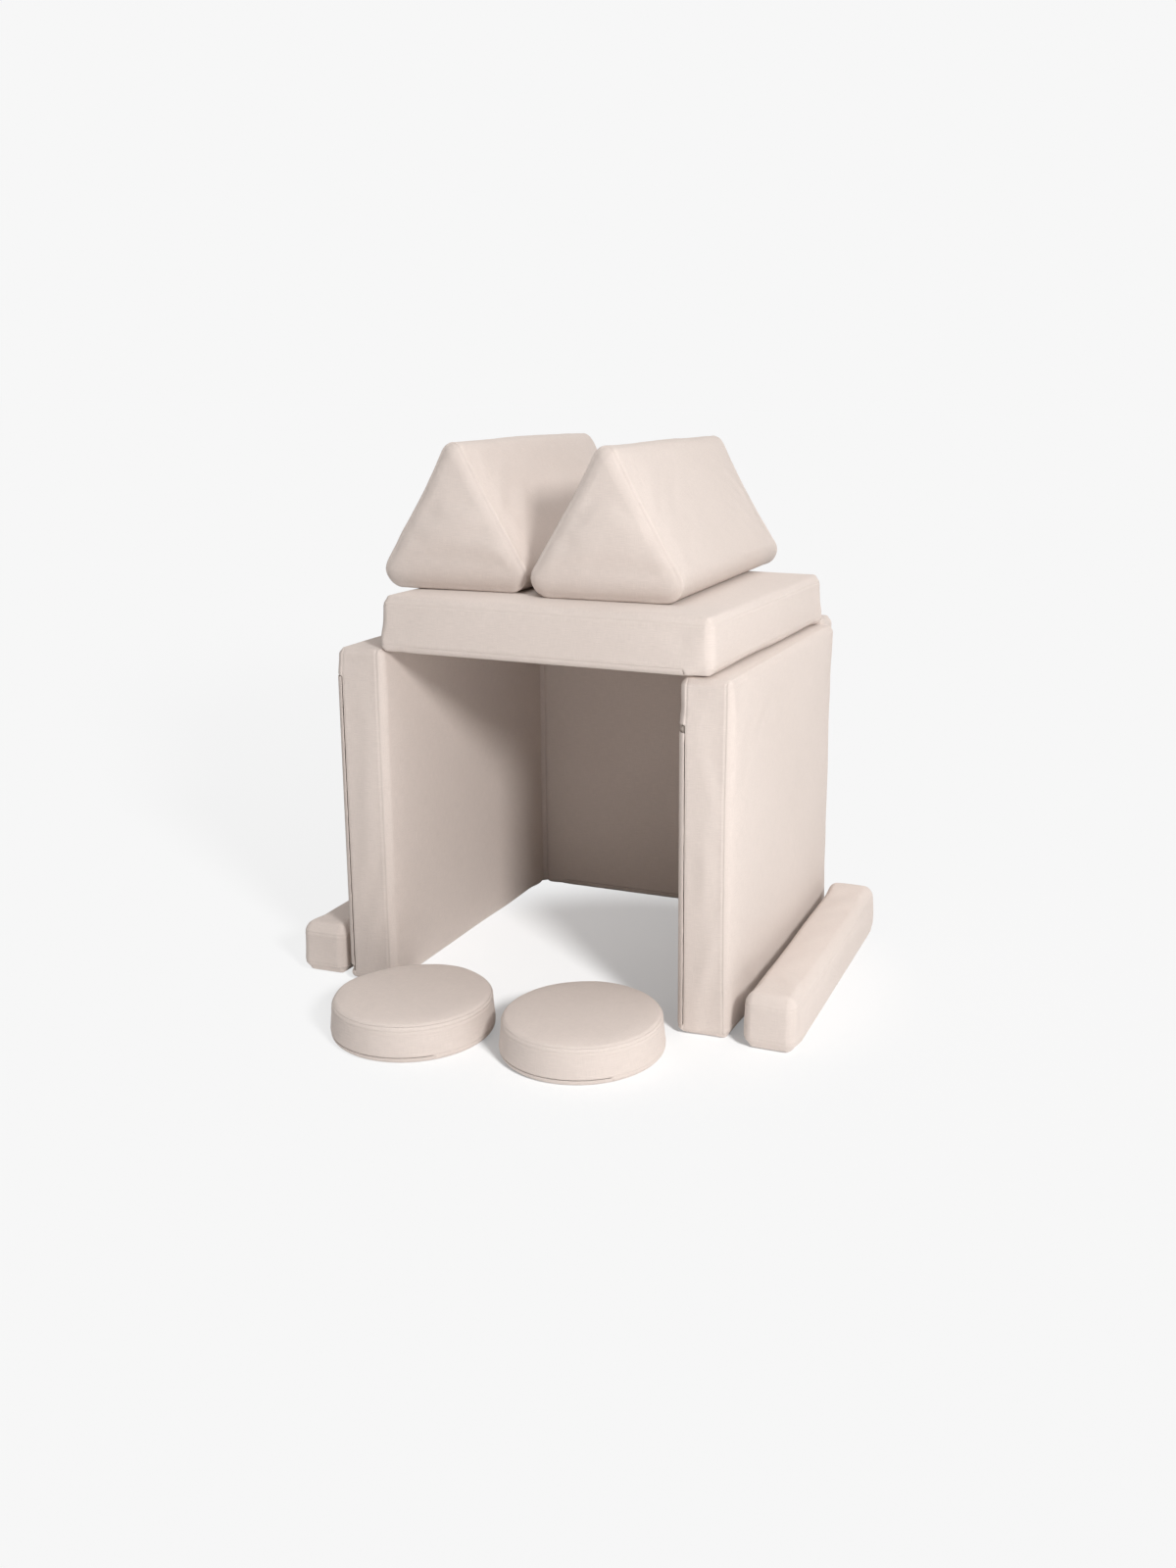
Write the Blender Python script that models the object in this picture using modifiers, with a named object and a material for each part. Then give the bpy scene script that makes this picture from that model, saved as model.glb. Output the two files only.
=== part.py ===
"""Modular foam play sofa, stacked as a little playhouse.

Ten fabric covered foam blocks: two square halves of a folding mat stand as the left and back walls, a third
square is the right wall and a fourth the roof. Two triangular prisms lie on the roof, a square bar stands
beside each wall and two round cushions lie in front. Each block is a foam core in a zipped cover.

Metres, +Z up, +Y away from the viewer. The origin is under the middle of the set, on the floor.
"""

import math

import bmesh
import bpy
from mathutils import Vector

SET_NAME = "modular_foam_play_sofa"

# Cloth, foam and the gap that touching pieces keep
COVER_WALL = 0.0016
CLEARANCE = 0.0003

# Square blocks. The two halves of the mat stand a little taller than the loose squares
SQUARE_SIDE = 0.700
MAT_RISE = 0.0055
SQUARE_THICKNESS = 0.1085
SQUARE_CORNER_RADIUS = 0.014
SQUARE_CROWN = 0.004
BACK_WALL_CROWN = 0.003
ROOF_CROWN = 0.003
ROOF_THICKNESS = 0.1115
SQUARE_DRAW = 0.0025
RIGHT_WALL_REAR_DRAW = 0.004

# Square bars
BAR_WIDTH = 0.110
BAR_HEIGHT = 0.109
BAR_LENGTH = 0.700
BAR_CORNER_RADIUS = 0.020
BAR_CROWN = 0.002
BAR_DRAW = 0.002
BAR_END_RISE = 0.002

# Triangular prisms, measured between the sharp corners that the rounding takes off
PRISM_EDGE = 0.3655
PRISM_LENGTH = 0.700
PRISM_CORNER_RADIUS = 0.0232
PRISM_CROWN = 0.003
PRISM_DRAW = 0.002
PRISM_END_RISE = 0.003

# Round cushions
DISC_RADIUS = 0.155
DISC_HEIGHT = 0.0755
DISC_EDGE_RADIUS = 0.012
DISC_CROWN = 0.003
DISC_SWELL = 0.001

# Where the blocks stand. x is measured from the right wall's outer face, y from the fronts of the walls
WALLS_SPAN = 0.8367
ROOF_CENTRE_X = -0.3819
ROOF_SET_BACK = -0.0015
ROOF_TURN = math.radians(-0.87)
LEFT_PRISM_X = -0.6382
LEFT_PRISM_SET_BACK = 0.104
RIGHT_PRISM_X = -0.3032
RIGHT_PRISM_SET_BACK = 0.0816
PRISM_TURN = math.radians(2.3)
LEFT_BAR_GAP = 0.0179
LEFT_BAR_FORWARD = 0.0002
RIGHT_BAR_GAP = 0.0186
RIGHT_BAR_FORWARD = 0.0218
BAR_TURN = math.radians(1.2)
RIGHT_DISC_X = -0.2483
RIGHT_DISC_Y = -0.1231
DISCS_GAP = 0.0317
DISCS_BEARING = math.radians(186.06)

# Zips: the gap in the cover at one rounded edge, the tape behind it, and the flap of cover cloth over it
ZIP_END_MARGIN = 0.060
WALL_ZIP_FLOOR_MARGIN = 0.020
RIGHT_WALL_ZIP_TOP_MARGIN = 0.091
ZIP_TAIL = 0.004
TAPE_THICKNESS = 0.0008
CHAIN_WIDTH = 0.0050
CHAIN_HEIGHT = 0.0010
FLAP_THICKNESS = 0.0014
FLAP_PROUD = 0.0008
FLAP_FREE_GAP = 0.0025
DISC_ZIP_START = math.radians(180.0)
DISC_ZIP_STEPS = 12
SLIDER_LENGTH = 0.0120
SLIDER_WIDTH = 0.0074
SLIDER_PLATE = 0.0008
SLIDER_NOSE = 0.0040
SLIDER_NOSE_WIDTH = 0.0066
SLIDER_WINDOW = 0.0180

# The cloth hinge between the two halves of the folding mat
HINGE_CLOTH = 0.0012
HINGE_TIP = 0.0002
HINGE_END_MARGIN = 0.020

# How finely round and swelling forms are divided
EDGE_STEPS = 2
PRISM_EDGE_STEPS = 4
FLAP_ARC_STEPS = 3
END_RADIUS_SHARE = 0.85
DISC_SIDES = 32
CHAIN_STEPS_PER_SIDE = 3
FACE_STRIPS = 4
BAR_STRIPS = 2
PRISM_STRIPS = 3
LENGTH_SPANS = 4
SHARP_ANGLE = math.radians(60.0)


def clear_scene():
    for old in list(bpy.data.objects):
        bpy.data.objects.remove(old)


def make_material(name, colour, roughness, metallic=0.0):
    material = bpy.data.materials.new(name)
    material.use_nodes = True
    shader = material.node_tree.nodes["Principled BSDF"]
    shader.inputs["Base Color"].default_value = (*colour, 1.0)
    shader.inputs["Roughness"].default_value = roughness
    shader.inputs["Metallic"].default_value = metallic
    return material


def direction(angle):
    return Vector((math.cos(angle), math.sin(angle)))


class Loft:
    """A mesh carried through rings of points, each ring a circle moved onto its outline."""

    def __init__(self):
        self.mesh = bmesh.new()
        self.rings = []

    def add_ring(self, points):
        circle = bmesh.ops.create_circle(self.mesh, segments=len(points), radius=1.0, cap_ends=False)
        for vertex, point in zip(circle["verts"], points):
            vertex.co = point
        self.rings.append(circle["verts"])

    def ring_edges(self, ring):
        inside = set(ring)
        return [edge for edge in self.mesh.edges if set(edge.verts) <= inside]

    def close(self, first_rise=0.0, last_rise=0.0):
        """Joins the rings and closes both ends, each with a middle point raised by its rise."""
        loops = [self.ring_edges(ring) for ring in self.rings]
        for near, far in zip(loops, loops[1:]):
            bmesh.ops.bridge_loops(self.mesh, edges=near + far)
        first, second = self.rings[0], self.rings[1]
        before_last, last = self.rings[-2], self.rings[-1]
        ends = ((loops[0], first, second, first_rise), (loops[-1], last, before_last, last_rise))
        for loop, ring, inner_ring, rise in ends:
            cap = bmesh.ops.edgeloop_fill(self.mesh, edges=loop)["faces"]
            if rise:
                outwards = (middle_of(ring) - middle_of(inner_ring)).normalized()
                centre = bmesh.ops.poke(self.mesh, faces=cap)["verts"][0]
                centre.co += outwards * rise
        bmesh.ops.recalc_face_normals(self.mesh, faces=self.mesh.faces)
        return self.mesh


def middle_of(vertices):
    return sum((vertex.co for vertex in vertices), Vector()) / len(vertices)


def loft(rings, first_rise=0.0, last_rise=0.0):
    form = Loft()
    for ring in rings:
        form.add_ring(ring)
    return form.close(first_rise, last_rise)


class Block:
    """A long cushion: a rounded section in X and Z, carried along Y.

    Corners run anticlockwise from the lower left, and side i follows corner i. bulges say how far each side
    swells at its middle, draws how far it pulls in between its ends, and cuts into how many strips it is cut.
    The lower right corner holds the zip.
    """

    def __init__(self, corners, length, radius, bulges, draws, cuts, zip_margins, end_rise, steps):
        self.corners = [Vector(corner) for corner in corners]
        self.length = length
        self.radius = radius
        self.bulges = bulges
        self.draws = draws
        self.cuts = cuts
        self.zip_start = zip_margins[0] - length / 2
        self.zip_stop = length / 2 - zip_margins[1]
        self.end_rise = end_rise
        self.steps = steps
        sides = zip(self.corners, self.corners[1:] + self.corners[:1])
        self.normals = [Vector((b.y - a.y, a.x - b.x)).normalized() for a, b in sides]
        self.facet_drop = 0.0

    def core(self, corner, y):
        """Centre of the arc that rounds a corner, at y."""
        before, after = self.normals[corner - 1], self.normals[corner]
        slack = 1 - (2 * y / self.length) ** 2
        depth_before = self.radius + self.draws[corner - 1] * slack
        depth_after = self.radius + self.draws[corner] * slack
        turn = before.cross(after)
        return self.corners[corner] + Vector(
            (
                (before.y * depth_after - after.y * depth_before) / turn,
                (after.x * depth_before - before.x * depth_after) / turn,
            )
        )

    def ring(self, y, inset, end_inset, zip_depth):
        """One section, inset from the cushion's surface. zip_depth flattens the arc behind the zip."""
        count = len(self.corners)
        cores = [self.core(corner, y) for corner in range(count)]
        radius = self.radius - inset - end_inset
        fullness = 1 - min(1.0, abs(2 * y / self.length)) ** 4
        points = []
        for corner in range(count):
            before, after = self.normals[corner - 1], self.normals[corner]
            start = math.atan2(before.y, before.x)
            sweep = before.angle_signed(after) * -1
            middle = direction(start + sweep / 2)
            for step in range(self.steps + 1):
                offset = direction(start + sweep * step / self.steps) * radius
                if corner == self.zip_corner and zip_depth is not None:
                    offset -= middle * max(0.0, offset.dot(middle) - zip_depth)
                points.append(cores[corner] + offset)
            following = cores[(corner + 1) % count]
            for cut in range(1, self.cuts[corner]):
                share = cut / self.cuts[corner]
                swell = self.bulges[corner] * (1 - abs(2 * share - 1) ** 4) * fullness
                points.append(cores[corner].lerp(following, share) + after * (radius + swell))
        return [Vector((point.x, y, point.y)) for point in points]

    def mesh(self, inset=0.0, zip_depth=None):
        end_radius = (self.radius - inset) * END_RADIUS_SHARE
        ends = []
        for step in range(EDGE_STEPS + 1):
            angle = math.pi / 2 * step / EDGE_STEPS
            back = inset + end_radius * (1 - math.cos(angle))
            ends.append((back, end_radius * (1 - math.sin(angle))))
        rings = [self.ring(back - self.length / 2, inset, inwards, zip_depth) for back, inwards in ends]
        for span in range(LENGTH_SPANS + 1):
            y = self.zip_start + (self.zip_stop - self.zip_start) * span / LENGTH_SPANS
            rings.append(self.ring(y, inset, 0.0, zip_depth))
        for back, inwards in reversed(ends):
            rings.append(self.ring(self.length / 2 - back, inset, inwards, zip_depth))
        return loft(rings, self.end_rise, self.end_rise)

    @property
    def zip_corner(self):
        return 1

    def zip_arc(self):
        """Centre, facing angle and half sweep of the rounded edge that holds the zip."""
        before, after = self.normals[self.zip_corner - 1], self.normals[self.zip_corner]
        half_sweep = abs(before.angle_signed(after)) / 2
        return self.core(self.zip_corner, self.zip_start), math.atan2(before.y, before.x) + half_sweep, half_sweep

    def in_zip_gap(self, point):
        centre, facing, half_sweep = self.zip_arc()
        offset = Vector((point.x, point.z)) - centre
        beside = abs(offset.angle_signed(direction(facing)))
        on_arc = beside < half_sweep and offset.length > self.radius / 2
        return on_arc and self.zip_start < point.y < self.zip_stop

    def path(self, start, stop, steps):
        """Stations along the zip: each turns a point of the section into a point in space."""
        places = [start + (stop - start) * step / steps for step in range(steps + 1)]
        return [lambda point, y=y: Vector((point.x, y, point.y)) for y in places]

    def along(self, distance):
        """Place on the path that lies a distance past the zip's start."""
        return self.zip_start + distance

    def zip_length(self):
        return self.zip_stop - self.zip_start

    def tape_steps(self):
        return 1

    def flap_steps(self):
        return 1

    def slider_origin(self, place):
        centre = self.core(self.zip_corner, place)
        return Vector((centre.x, place, centre.y))


class Disc:
    """A round cushion: rings about Z, with the zip along part of its lower edge."""

    def __init__(self):
        self.radius = DISC_EDGE_RADIUS
        self.facet_drop = DISC_RADIUS * (1 - math.cos(math.pi / DISC_SIDES))

    def ring(self, radius, z):
        turns = [math.tau * side / DISC_SIDES for side in range(DISC_SIDES)]
        return [Vector((radius * math.cos(turn), radius * math.sin(turn), z)) for turn in turns]

    def mesh(self, inset=0.0, zip_depth=None):
        edge = self.radius - inset
        facing = direction(-math.pi / 4)
        shoulder = DISC_RADIUS - self.radius
        rings = [] if zip_depth is None else [self.ring(shoulder / 2, inset)]
        for step in range(EDGE_STEPS + 1):
            offset = direction(-math.pi / 2 * (1 - step / EDGE_STEPS)) * edge
            if zip_depth is not None:
                offset -= facing * max(0.0, offset.dot(facing) - zip_depth)
            rings.append(self.ring(shoulder + offset.x, self.radius + offset.y))
        rings.append(self.ring(DISC_RADIUS + DISC_SWELL - inset, DISC_HEIGHT / 2))
        for step in range(EDGE_STEPS + 1):
            offset = direction(math.pi / 2 * step / EDGE_STEPS) * edge
            rings.append(self.ring(shoulder + offset.x, DISC_HEIGHT - self.radius + offset.y))
        middle = shoulder / 2
        rings.append(self.ring(middle, DISC_HEIGHT - inset + DISC_CROWN * (1 - (middle / shoulder) ** 2)))
        return loft(rings, last_rise=DISC_CROWN * (middle / shoulder) ** 2)

    def zip_arc(self):
        return Vector((DISC_RADIUS - self.radius, self.radius)), -math.pi / 4, math.pi / 4

    def in_zip_gap(self, point):
        turn = (math.atan2(point.y, point.x) - DISC_ZIP_START) % math.tau
        low = point.z < self.radius and Vector((point.x, point.y)).length > DISC_RADIUS - self.radius
        return low and turn < self.zip_turn()

    def zip_turn(self):
        return math.tau * DISC_ZIP_STEPS / DISC_SIDES

    def path(self, start, stop, steps):
        ways = [direction(start + (stop - start) * step / steps) for step in range(steps + 1)]
        return [lambda point, way=way: Vector((point.x * way.x, point.x * way.y, point.y)) for way in ways]

    def along(self, distance):
        return DISC_ZIP_START + distance / DISC_RADIUS

    def zip_length(self):
        return self.zip_turn() * DISC_RADIUS

    def tape_steps(self):
        return DISC_ZIP_STEPS * CHAIN_STEPS_PER_SIDE

    def flap_steps(self):
        return DISC_ZIP_STEPS

    def slider_origin(self, place):
        return Vector()


class Zip:
    """The zip of one block: places are given across it, and out from the centre of its rounded edge."""

    def __init__(self, block, proud, parks_at_start):
        self.block = block
        self.proud = proud
        self.parks_at_start = parks_at_start
        self.edge_centre, self.facing, self.half_sweep = block.zip_arc()
        self.centre = self.edge_centre - Vector((block.facet_drop, 0.0))
        reach = block.radius - COVER_WALL - CLEARANCE
        self.half_width = reach * math.sin(self.half_sweep)
        self.height = reach * math.cos(self.half_sweep)

    def point(self, across, out):
        return self.centre + direction(self.facing + math.pi / 2) * across + direction(self.facing) * out

    def foam_depth(self):
        return self.height - TAPE_THICKNESS - CLEARANCE - self.block.facet_drop * math.cos(self.half_sweep)

    def tape(self):
        chain = CHAIN_WIDTH / 2
        low, top = self.height - TAPE_THICKNESS, self.height + CHAIN_HEIGHT
        outline = [(-self.half_width, low), (self.half_width, low), (self.half_width, self.height)]
        outline += [(chain, self.height), (chain, top), (-chain, top), (-chain, self.height)]
        outline += [(-self.half_width, self.height)]
        section = [self.point(across, out) for across, out in outline]
        start = self.block.along(-ZIP_TAIL)
        stop = self.block.along(self.block.zip_length() + ZIP_TAIL)
        stations = self.block.path(start, stop, self.block.tape_steps())
        return loft([[place(point) for point in section] for place in stations])

    def window(self):
        """Ends of the part of the zip that the flap leaves open for the parked slider."""
        length = self.block.zip_length()
        return (0.0, SLIDER_WINDOW) if self.parks_at_start else (length - SLIDER_WINDOW, length)

    def flap(self):
        outer = self.block.radius + self.proud
        inner = outer - FLAP_THICKNESS
        sewn = self.half_sweep - CLEARANCE / inner
        free = FLAP_FREE_GAP / inner - self.half_sweep
        step_turn = (free - sewn) / FLAP_ARC_STEPS
        ways = [direction(self.facing + sewn + step_turn * step) for step in range(FLAP_ARC_STEPS + 1)]
        section = [self.edge_centre + way * inner for way in ways]
        section += [self.edge_centre + way * outer for way in reversed(ways)]
        near, far = self.window()
        length = self.block.zip_length()
        start, stop = (far, length - CLEARANCE) if self.parks_at_start else (CLEARANCE, near)
        stations = self.block.path(self.block.along(start), self.block.along(stop), self.block.flap_steps())
        return loft([[place(point) for point in section] for place in stations])

    def parked(self):
        near, far = self.window()
        return (near + far) / 2

    def slider_section(self, width):
        inside, outside = CHAIN_WIDTH / 2 + CLEARANCE, width / 2
        foot = self.height + CLEARANCE
        ceiling = self.height + CHAIN_HEIGHT + CLEARANCE
        top = ceiling + SLIDER_PLATE
        outline = [(-outside, foot), (-inside, foot), (-inside, ceiling), (inside, ceiling)]
        outline += [(inside, foot), (outside, foot), (outside, top), (-outside, top)]
        return [self.point(across, out) for across, out in outline]

    def slider(self):
        """The slider's mesh, seen from its own origin, and that origin."""
        tail = self.parked() - SLIDER_LENGTH / 2
        stations = [(tail, SLIDER_NOSE_WIDTH), (tail + SLIDER_NOSE, SLIDER_WIDTH)]
        stations.append((tail + SLIDER_LENGTH, SLIDER_WIDTH))
        rings = []
        for distance, width in stations:
            place = self.block.path(self.block.along(distance), self.block.along(distance), 1)[0]
            rings.append([place(point) for point in self.slider_section(width)])
        origin = self.block.slider_origin(self.block.along(self.parked()))
        return loft([[point - origin for point in ring] for ring in rings]), origin


class Maker:
    """Puts finished meshes into the set's collection, each as its own object under an empty."""

    def __init__(self):
        self.collection = bpy.data.collections.new(SET_NAME)
        bpy.context.scene.collection.children.link(self.collection)
        self.materials = {
            "cover": make_material("cover_cloth", (0.70, 0.62, 0.53), 0.9),
            "foam": make_material("foam", (0.85, 0.83, 0.76), 0.95),
            "zip": make_material("zip_tape", (0.28, 0.25, 0.22), 0.7),
            "slider": make_material("zip_slider_metal", (0.32, 0.30, 0.28), 0.35, 1.0),
        }

    def empty(self, name, parent, location, rotation=(0.0, 0.0, 0.0)):
        holder = bpy.data.objects.new(name, None)
        holder.location = location
        holder.rotation_euler = rotation
        holder.parent = parent
        self.collection.objects.link(holder)
        return holder

    def piece(self, name, shape, material, parent, location=(0.0, 0.0, 0.0)):
        mesh = bpy.data.meshes.new(name)
        shape.to_mesh(mesh)
        shape.free()
        mesh.shade_smooth()
        mesh.set_sharp_from_angle(angle=SHARP_ANGLE)
        mesh.materials.append(self.materials[material])
        made = bpy.data.objects.new(name, mesh)
        made.location = location
        made.parent = parent
        self.collection.objects.link(made)
        return made

    def cushion(self, name, block, holder, proud, parks_at_start):
        """One block: foam core, cover open along its zip, tape, slider and flap."""
        fastener = Zip(block, proud, parks_at_start)
        core = block.mesh(COVER_WALL + CLEARANCE, fastener.foam_depth())
        self.piece(f"{name}_foam_core", core, "foam", holder)
        skin = block.mesh()
        gap = [face for face in skin.faces if block.in_zip_gap(face.calc_center_median())]
        bmesh.ops.delete(skin, geom=gap, context="FACES")
        cover = self.piece(f"{name}_cover", skin, "cover", holder)
        wall = cover.modifiers.new("wall", "SOLIDIFY")
        wall.thickness = COVER_WALL
        wall.offset = -1.0
        wall.use_even_offset = True
        self.piece(f"{name}_zip", fastener.tape(), "zip", holder)
        self.piece(f"{name}_zip_flap", fastener.flap(), "cover", holder)
        slider, origin = fastener.slider()
        self.piece(f"{name}_zip_slider", slider, "slider", holder, origin)


def rectangle(width, height, base):
    half = width / 2
    return [(-half, base), (half, base), (half, base + height), (-half, base + height)]


def mat_height():
    return SQUARE_SIDE + MAT_RISE


def upright_square(length, draws, zip_margins):
    """A square that stands on one end of its zip: the section is seen from above."""
    return Block(
        corners=rectangle(SQUARE_THICKNESS, SQUARE_SIDE, -SQUARE_SIDE / 2),
        length=length,
        radius=SQUARE_CORNER_RADIUS,
        bulges=(0.0, SQUARE_CROWN, 0.0, SQUARE_CROWN),
        draws=draws,
        cuts=(1, FACE_STRIPS, 1, FACE_STRIPS),
        zip_margins=zip_margins,
        end_rise=0.0,
        steps=EDGE_STEPS,
    )


def hinge_leaf(axis_gap, corner_distance, heading, height):
    """A strip of the hinge cloth from a block's rounded corner to a wedge at the fold line."""
    half = HINGE_CLOTH / 2
    out, side = direction(heading), direction(heading + math.pi / 2)
    tip = out * axis_gap
    shoulder = out * (axis_gap + half)
    root = out * (corner_distance - CLEARANCE)
    outline = [tip, shoulder - side * half, root - side * half, root + side * half, shoulder + side * half]
    levels = (HINGE_END_MARGIN, height - HINGE_END_MARGIN)
    return loft([[Vector((point.x, point.y, level)) for point in outline] for level in levels])


def build_walls(maker, root):
    """Right wall, then the mat: its left half stands on its own and its back half hangs on the fold line."""
    upright = (math.pi / 2, 0.0, math.pi)
    centre_y = SQUARE_SIDE / 2
    right = upright_square(
        SQUARE_SIDE,
        (0.0, 0.0, RIGHT_WALL_REAR_DRAW, SQUARE_DRAW),
        (WALL_ZIP_FLOOR_MARGIN, RIGHT_WALL_ZIP_TOP_MARGIN),
    )
    right_x = -SQUARE_THICKNESS / 2
    holder = maker.empty("right_wall_place", root, (right_x, centre_y, SQUARE_SIDE / 2), upright)
    maker.cushion("right_wall", right, holder, FLAP_PROUD, parks_at_start=False)

    left = upright_square(mat_height(), (0.0, 0.0, 0.0, 0.0), (WALL_ZIP_FLOOR_MARGIN, ZIP_END_MARGIN))
    left_x = SQUARE_THICKNESS / 2 - WALLS_SPAN
    holder = maker.empty("left_wall_place", root, (left_x, centre_y, mat_height() / 2), upright)
    maker.cushion("left_wall", left, holder, FLAP_PROUD, parks_at_start=True)

    fold = Vector((SQUARE_THICKNESS - WALLS_SPAN, SQUARE_SIDE, 0.0))
    fold += Vector((CLEARANCE / 2, CLEARANCE / 2, 0.0))
    diagonal = math.hypot(1.0, 1.0)
    half_gap = CLEARANCE / 2 * diagonal
    left_corner = half_gap + SQUARE_CORNER_RADIUS * (diagonal - 1)
    back_corner = half_gap + SQUARE_CORNER_RADIUS * END_RADIUS_SHARE * (diagonal - 1)
    left_leaf = hinge_leaf(HINGE_TIP, left_corner, math.radians(225.0), mat_height())
    maker.piece("fold_hinge_left_leaf", left_leaf, "cover", maker.empty("fold_line", root, fold))

    swing = maker.empty("back_wall_fold_axis", root, fold)
    back = Block(
        corners=rectangle(SQUARE_THICKNESS, mat_height(), 0.0),
        length=SQUARE_SIDE,
        radius=SQUARE_CORNER_RADIUS,
        bulges=(0.0, 0.0, 0.0, BACK_WALL_CROWN),
        draws=(0.0, 0.0, 0.0, SQUARE_DRAW),
        cuts=(1, 1, 1, FACE_STRIPS),
        zip_margins=(ZIP_END_MARGIN, ZIP_END_MARGIN),
        end_rise=0.0,
        steps=EDGE_STEPS,
    )
    beside = Vector((SQUARE_SIDE / 2 + CLEARANCE / 2, SQUARE_THICKNESS / 2 + CLEARANCE / 2, 0.0))
    holder = maker.empty("back_wall_place", swing, beside, (0.0, 0.0, -math.pi / 2))
    maker.cushion("back_wall", back, holder, 0.0, parks_at_start=False)
    back_leaf = hinge_leaf(HINGE_TIP, back_corner, math.radians(45.0), mat_height())
    maker.piece("fold_hinge_back_leaf", back_leaf, "cover", swing)


def build_roof(maker, root):
    roof = Block(
        corners=rectangle(SQUARE_SIDE, ROOF_THICKNESS, 0.0),
        length=SQUARE_SIDE,
        radius=SQUARE_CORNER_RADIUS,
        bulges=(0.0, 0.0, ROOF_CROWN, 0.0),
        draws=(0.0, 0.0, 0.0, SQUARE_DRAW),
        cuts=(1, 1, FACE_STRIPS, 1),
        zip_margins=(ZIP_END_MARGIN, ZIP_END_MARGIN),
        end_rise=0.0,
        steps=EDGE_STEPS,
    )
    centre = Vector((ROOF_CENTRE_X, SQUARE_SIDE / 2 + ROOF_SET_BACK, SQUARE_SIDE + CLEARANCE))
    holder = maker.empty("roof_place", root, centre, (0.0, 0.0, ROOF_TURN - math.pi / 2))
    maker.cushion("roof", roof, holder, 0.0, parks_at_start=False)


def build_prisms(maker, root):
    half = PRISM_EDGE / 2
    level = SQUARE_SIDE + ROOF_THICKNESS + ROOF_CROWN + 2 * CLEARANCE
    for name, x, front in (
        ("left_prism", LEFT_PRISM_X, LEFT_PRISM_SET_BACK),
        ("right_prism", RIGHT_PRISM_X, RIGHT_PRISM_SET_BACK),
    ):
        prism = Block(
            corners=[(-half, 0.0), (half, 0.0), (0.0, half * math.tan(math.pi / 3))],
            length=PRISM_LENGTH,
            radius=PRISM_CORNER_RADIUS,
            bulges=(0.0, PRISM_CROWN, PRISM_CROWN),
            draws=(0.0, 0.0, PRISM_DRAW),
            cuts=(1, PRISM_STRIPS, PRISM_STRIPS),
            zip_margins=(ZIP_END_MARGIN, ZIP_END_MARGIN),
            end_rise=PRISM_END_RISE,
            steps=PRISM_EDGE_STEPS,
        )
        centre = Vector((x, front + PRISM_LENGTH / 2, level))
        holder = maker.empty(f"{name}_place", root, centre, (0.0, 0.0, PRISM_TURN + math.pi))
        maker.cushion(name, prism, holder, 0.0, parks_at_start=True)


def build_bars(maker, root):
    right_x = RIGHT_BAR_GAP + BAR_WIDTH / 2
    left_x = -WALLS_SPAN - LEFT_BAR_GAP - BAR_WIDTH / 2
    for name, x, forward, turn, parks_at_start in (
        ("right_bar", right_x, RIGHT_BAR_FORWARD, BAR_TURN, False),
        ("left_bar", left_x, LEFT_BAR_FORWARD, BAR_TURN + math.pi, True),
    ):
        bar = Block(
            corners=rectangle(BAR_WIDTH, BAR_HEIGHT, 0.0),
            length=BAR_LENGTH,
            radius=BAR_CORNER_RADIUS,
            bulges=(0.0, BAR_CROWN, BAR_CROWN, BAR_CROWN),
            draws=(0.0, 0.0, BAR_DRAW, BAR_DRAW),
            cuts=(1, BAR_STRIPS, BAR_STRIPS, BAR_STRIPS),
            zip_margins=(ZIP_END_MARGIN, ZIP_END_MARGIN),
            end_rise=BAR_END_RISE,
            steps=EDGE_STEPS,
        )
        centre = Vector((x, BAR_LENGTH / 2 - forward, 0.0))
        holder = maker.empty(f"{name}_place", root, centre, (0.0, 0.0, turn))
        maker.cushion(name, bar, holder, 0.0, parks_at_start)


def build_discs(maker, root):
    right = Vector((RIGHT_DISC_X, RIGHT_DISC_Y))
    left = right + direction(DISCS_BEARING) * (2 * DISC_RADIUS + DISCS_GAP)
    for name, centre in (("left_disc", left), ("right_disc", right)):
        holder = maker.empty(f"{name}_axis", root, centre.to_3d())
        maker.cushion(name, Disc(), holder, 0.0, parks_at_start=True)


def centre_on_floor(root):
    """Moves the set so that the middle of its footprint is at the origin."""
    bpy.context.view_layer.update()
    points = []
    for made in bpy.data.objects:
        if made.type == "MESH":
            points += [made.matrix_world @ vertex.co for vertex in made.data.vertices]
    across = [point.x for point in points]
    deep = [point.y for point in points]
    root.location = (-(min(across) + max(across)) / 2, -(min(deep) + max(deep)) / 2, 0.0)


def main():
    clear_scene()
    maker = Maker()
    root = maker.empty("set_place", None, (0.0, 0.0, 0.0))
    build_walls(maker, root)
    build_roof(maker, root)
    build_prisms(maker, root)
    build_bars(maker, root)
    build_discs(maker, root)
    centre_on_floor(root)


main()
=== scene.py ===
import math

import bmesh
import bpy
import numpy as np
from mathutils import Euler, Matrix, Vector
from mathutils.kdtree import KDTree


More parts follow.
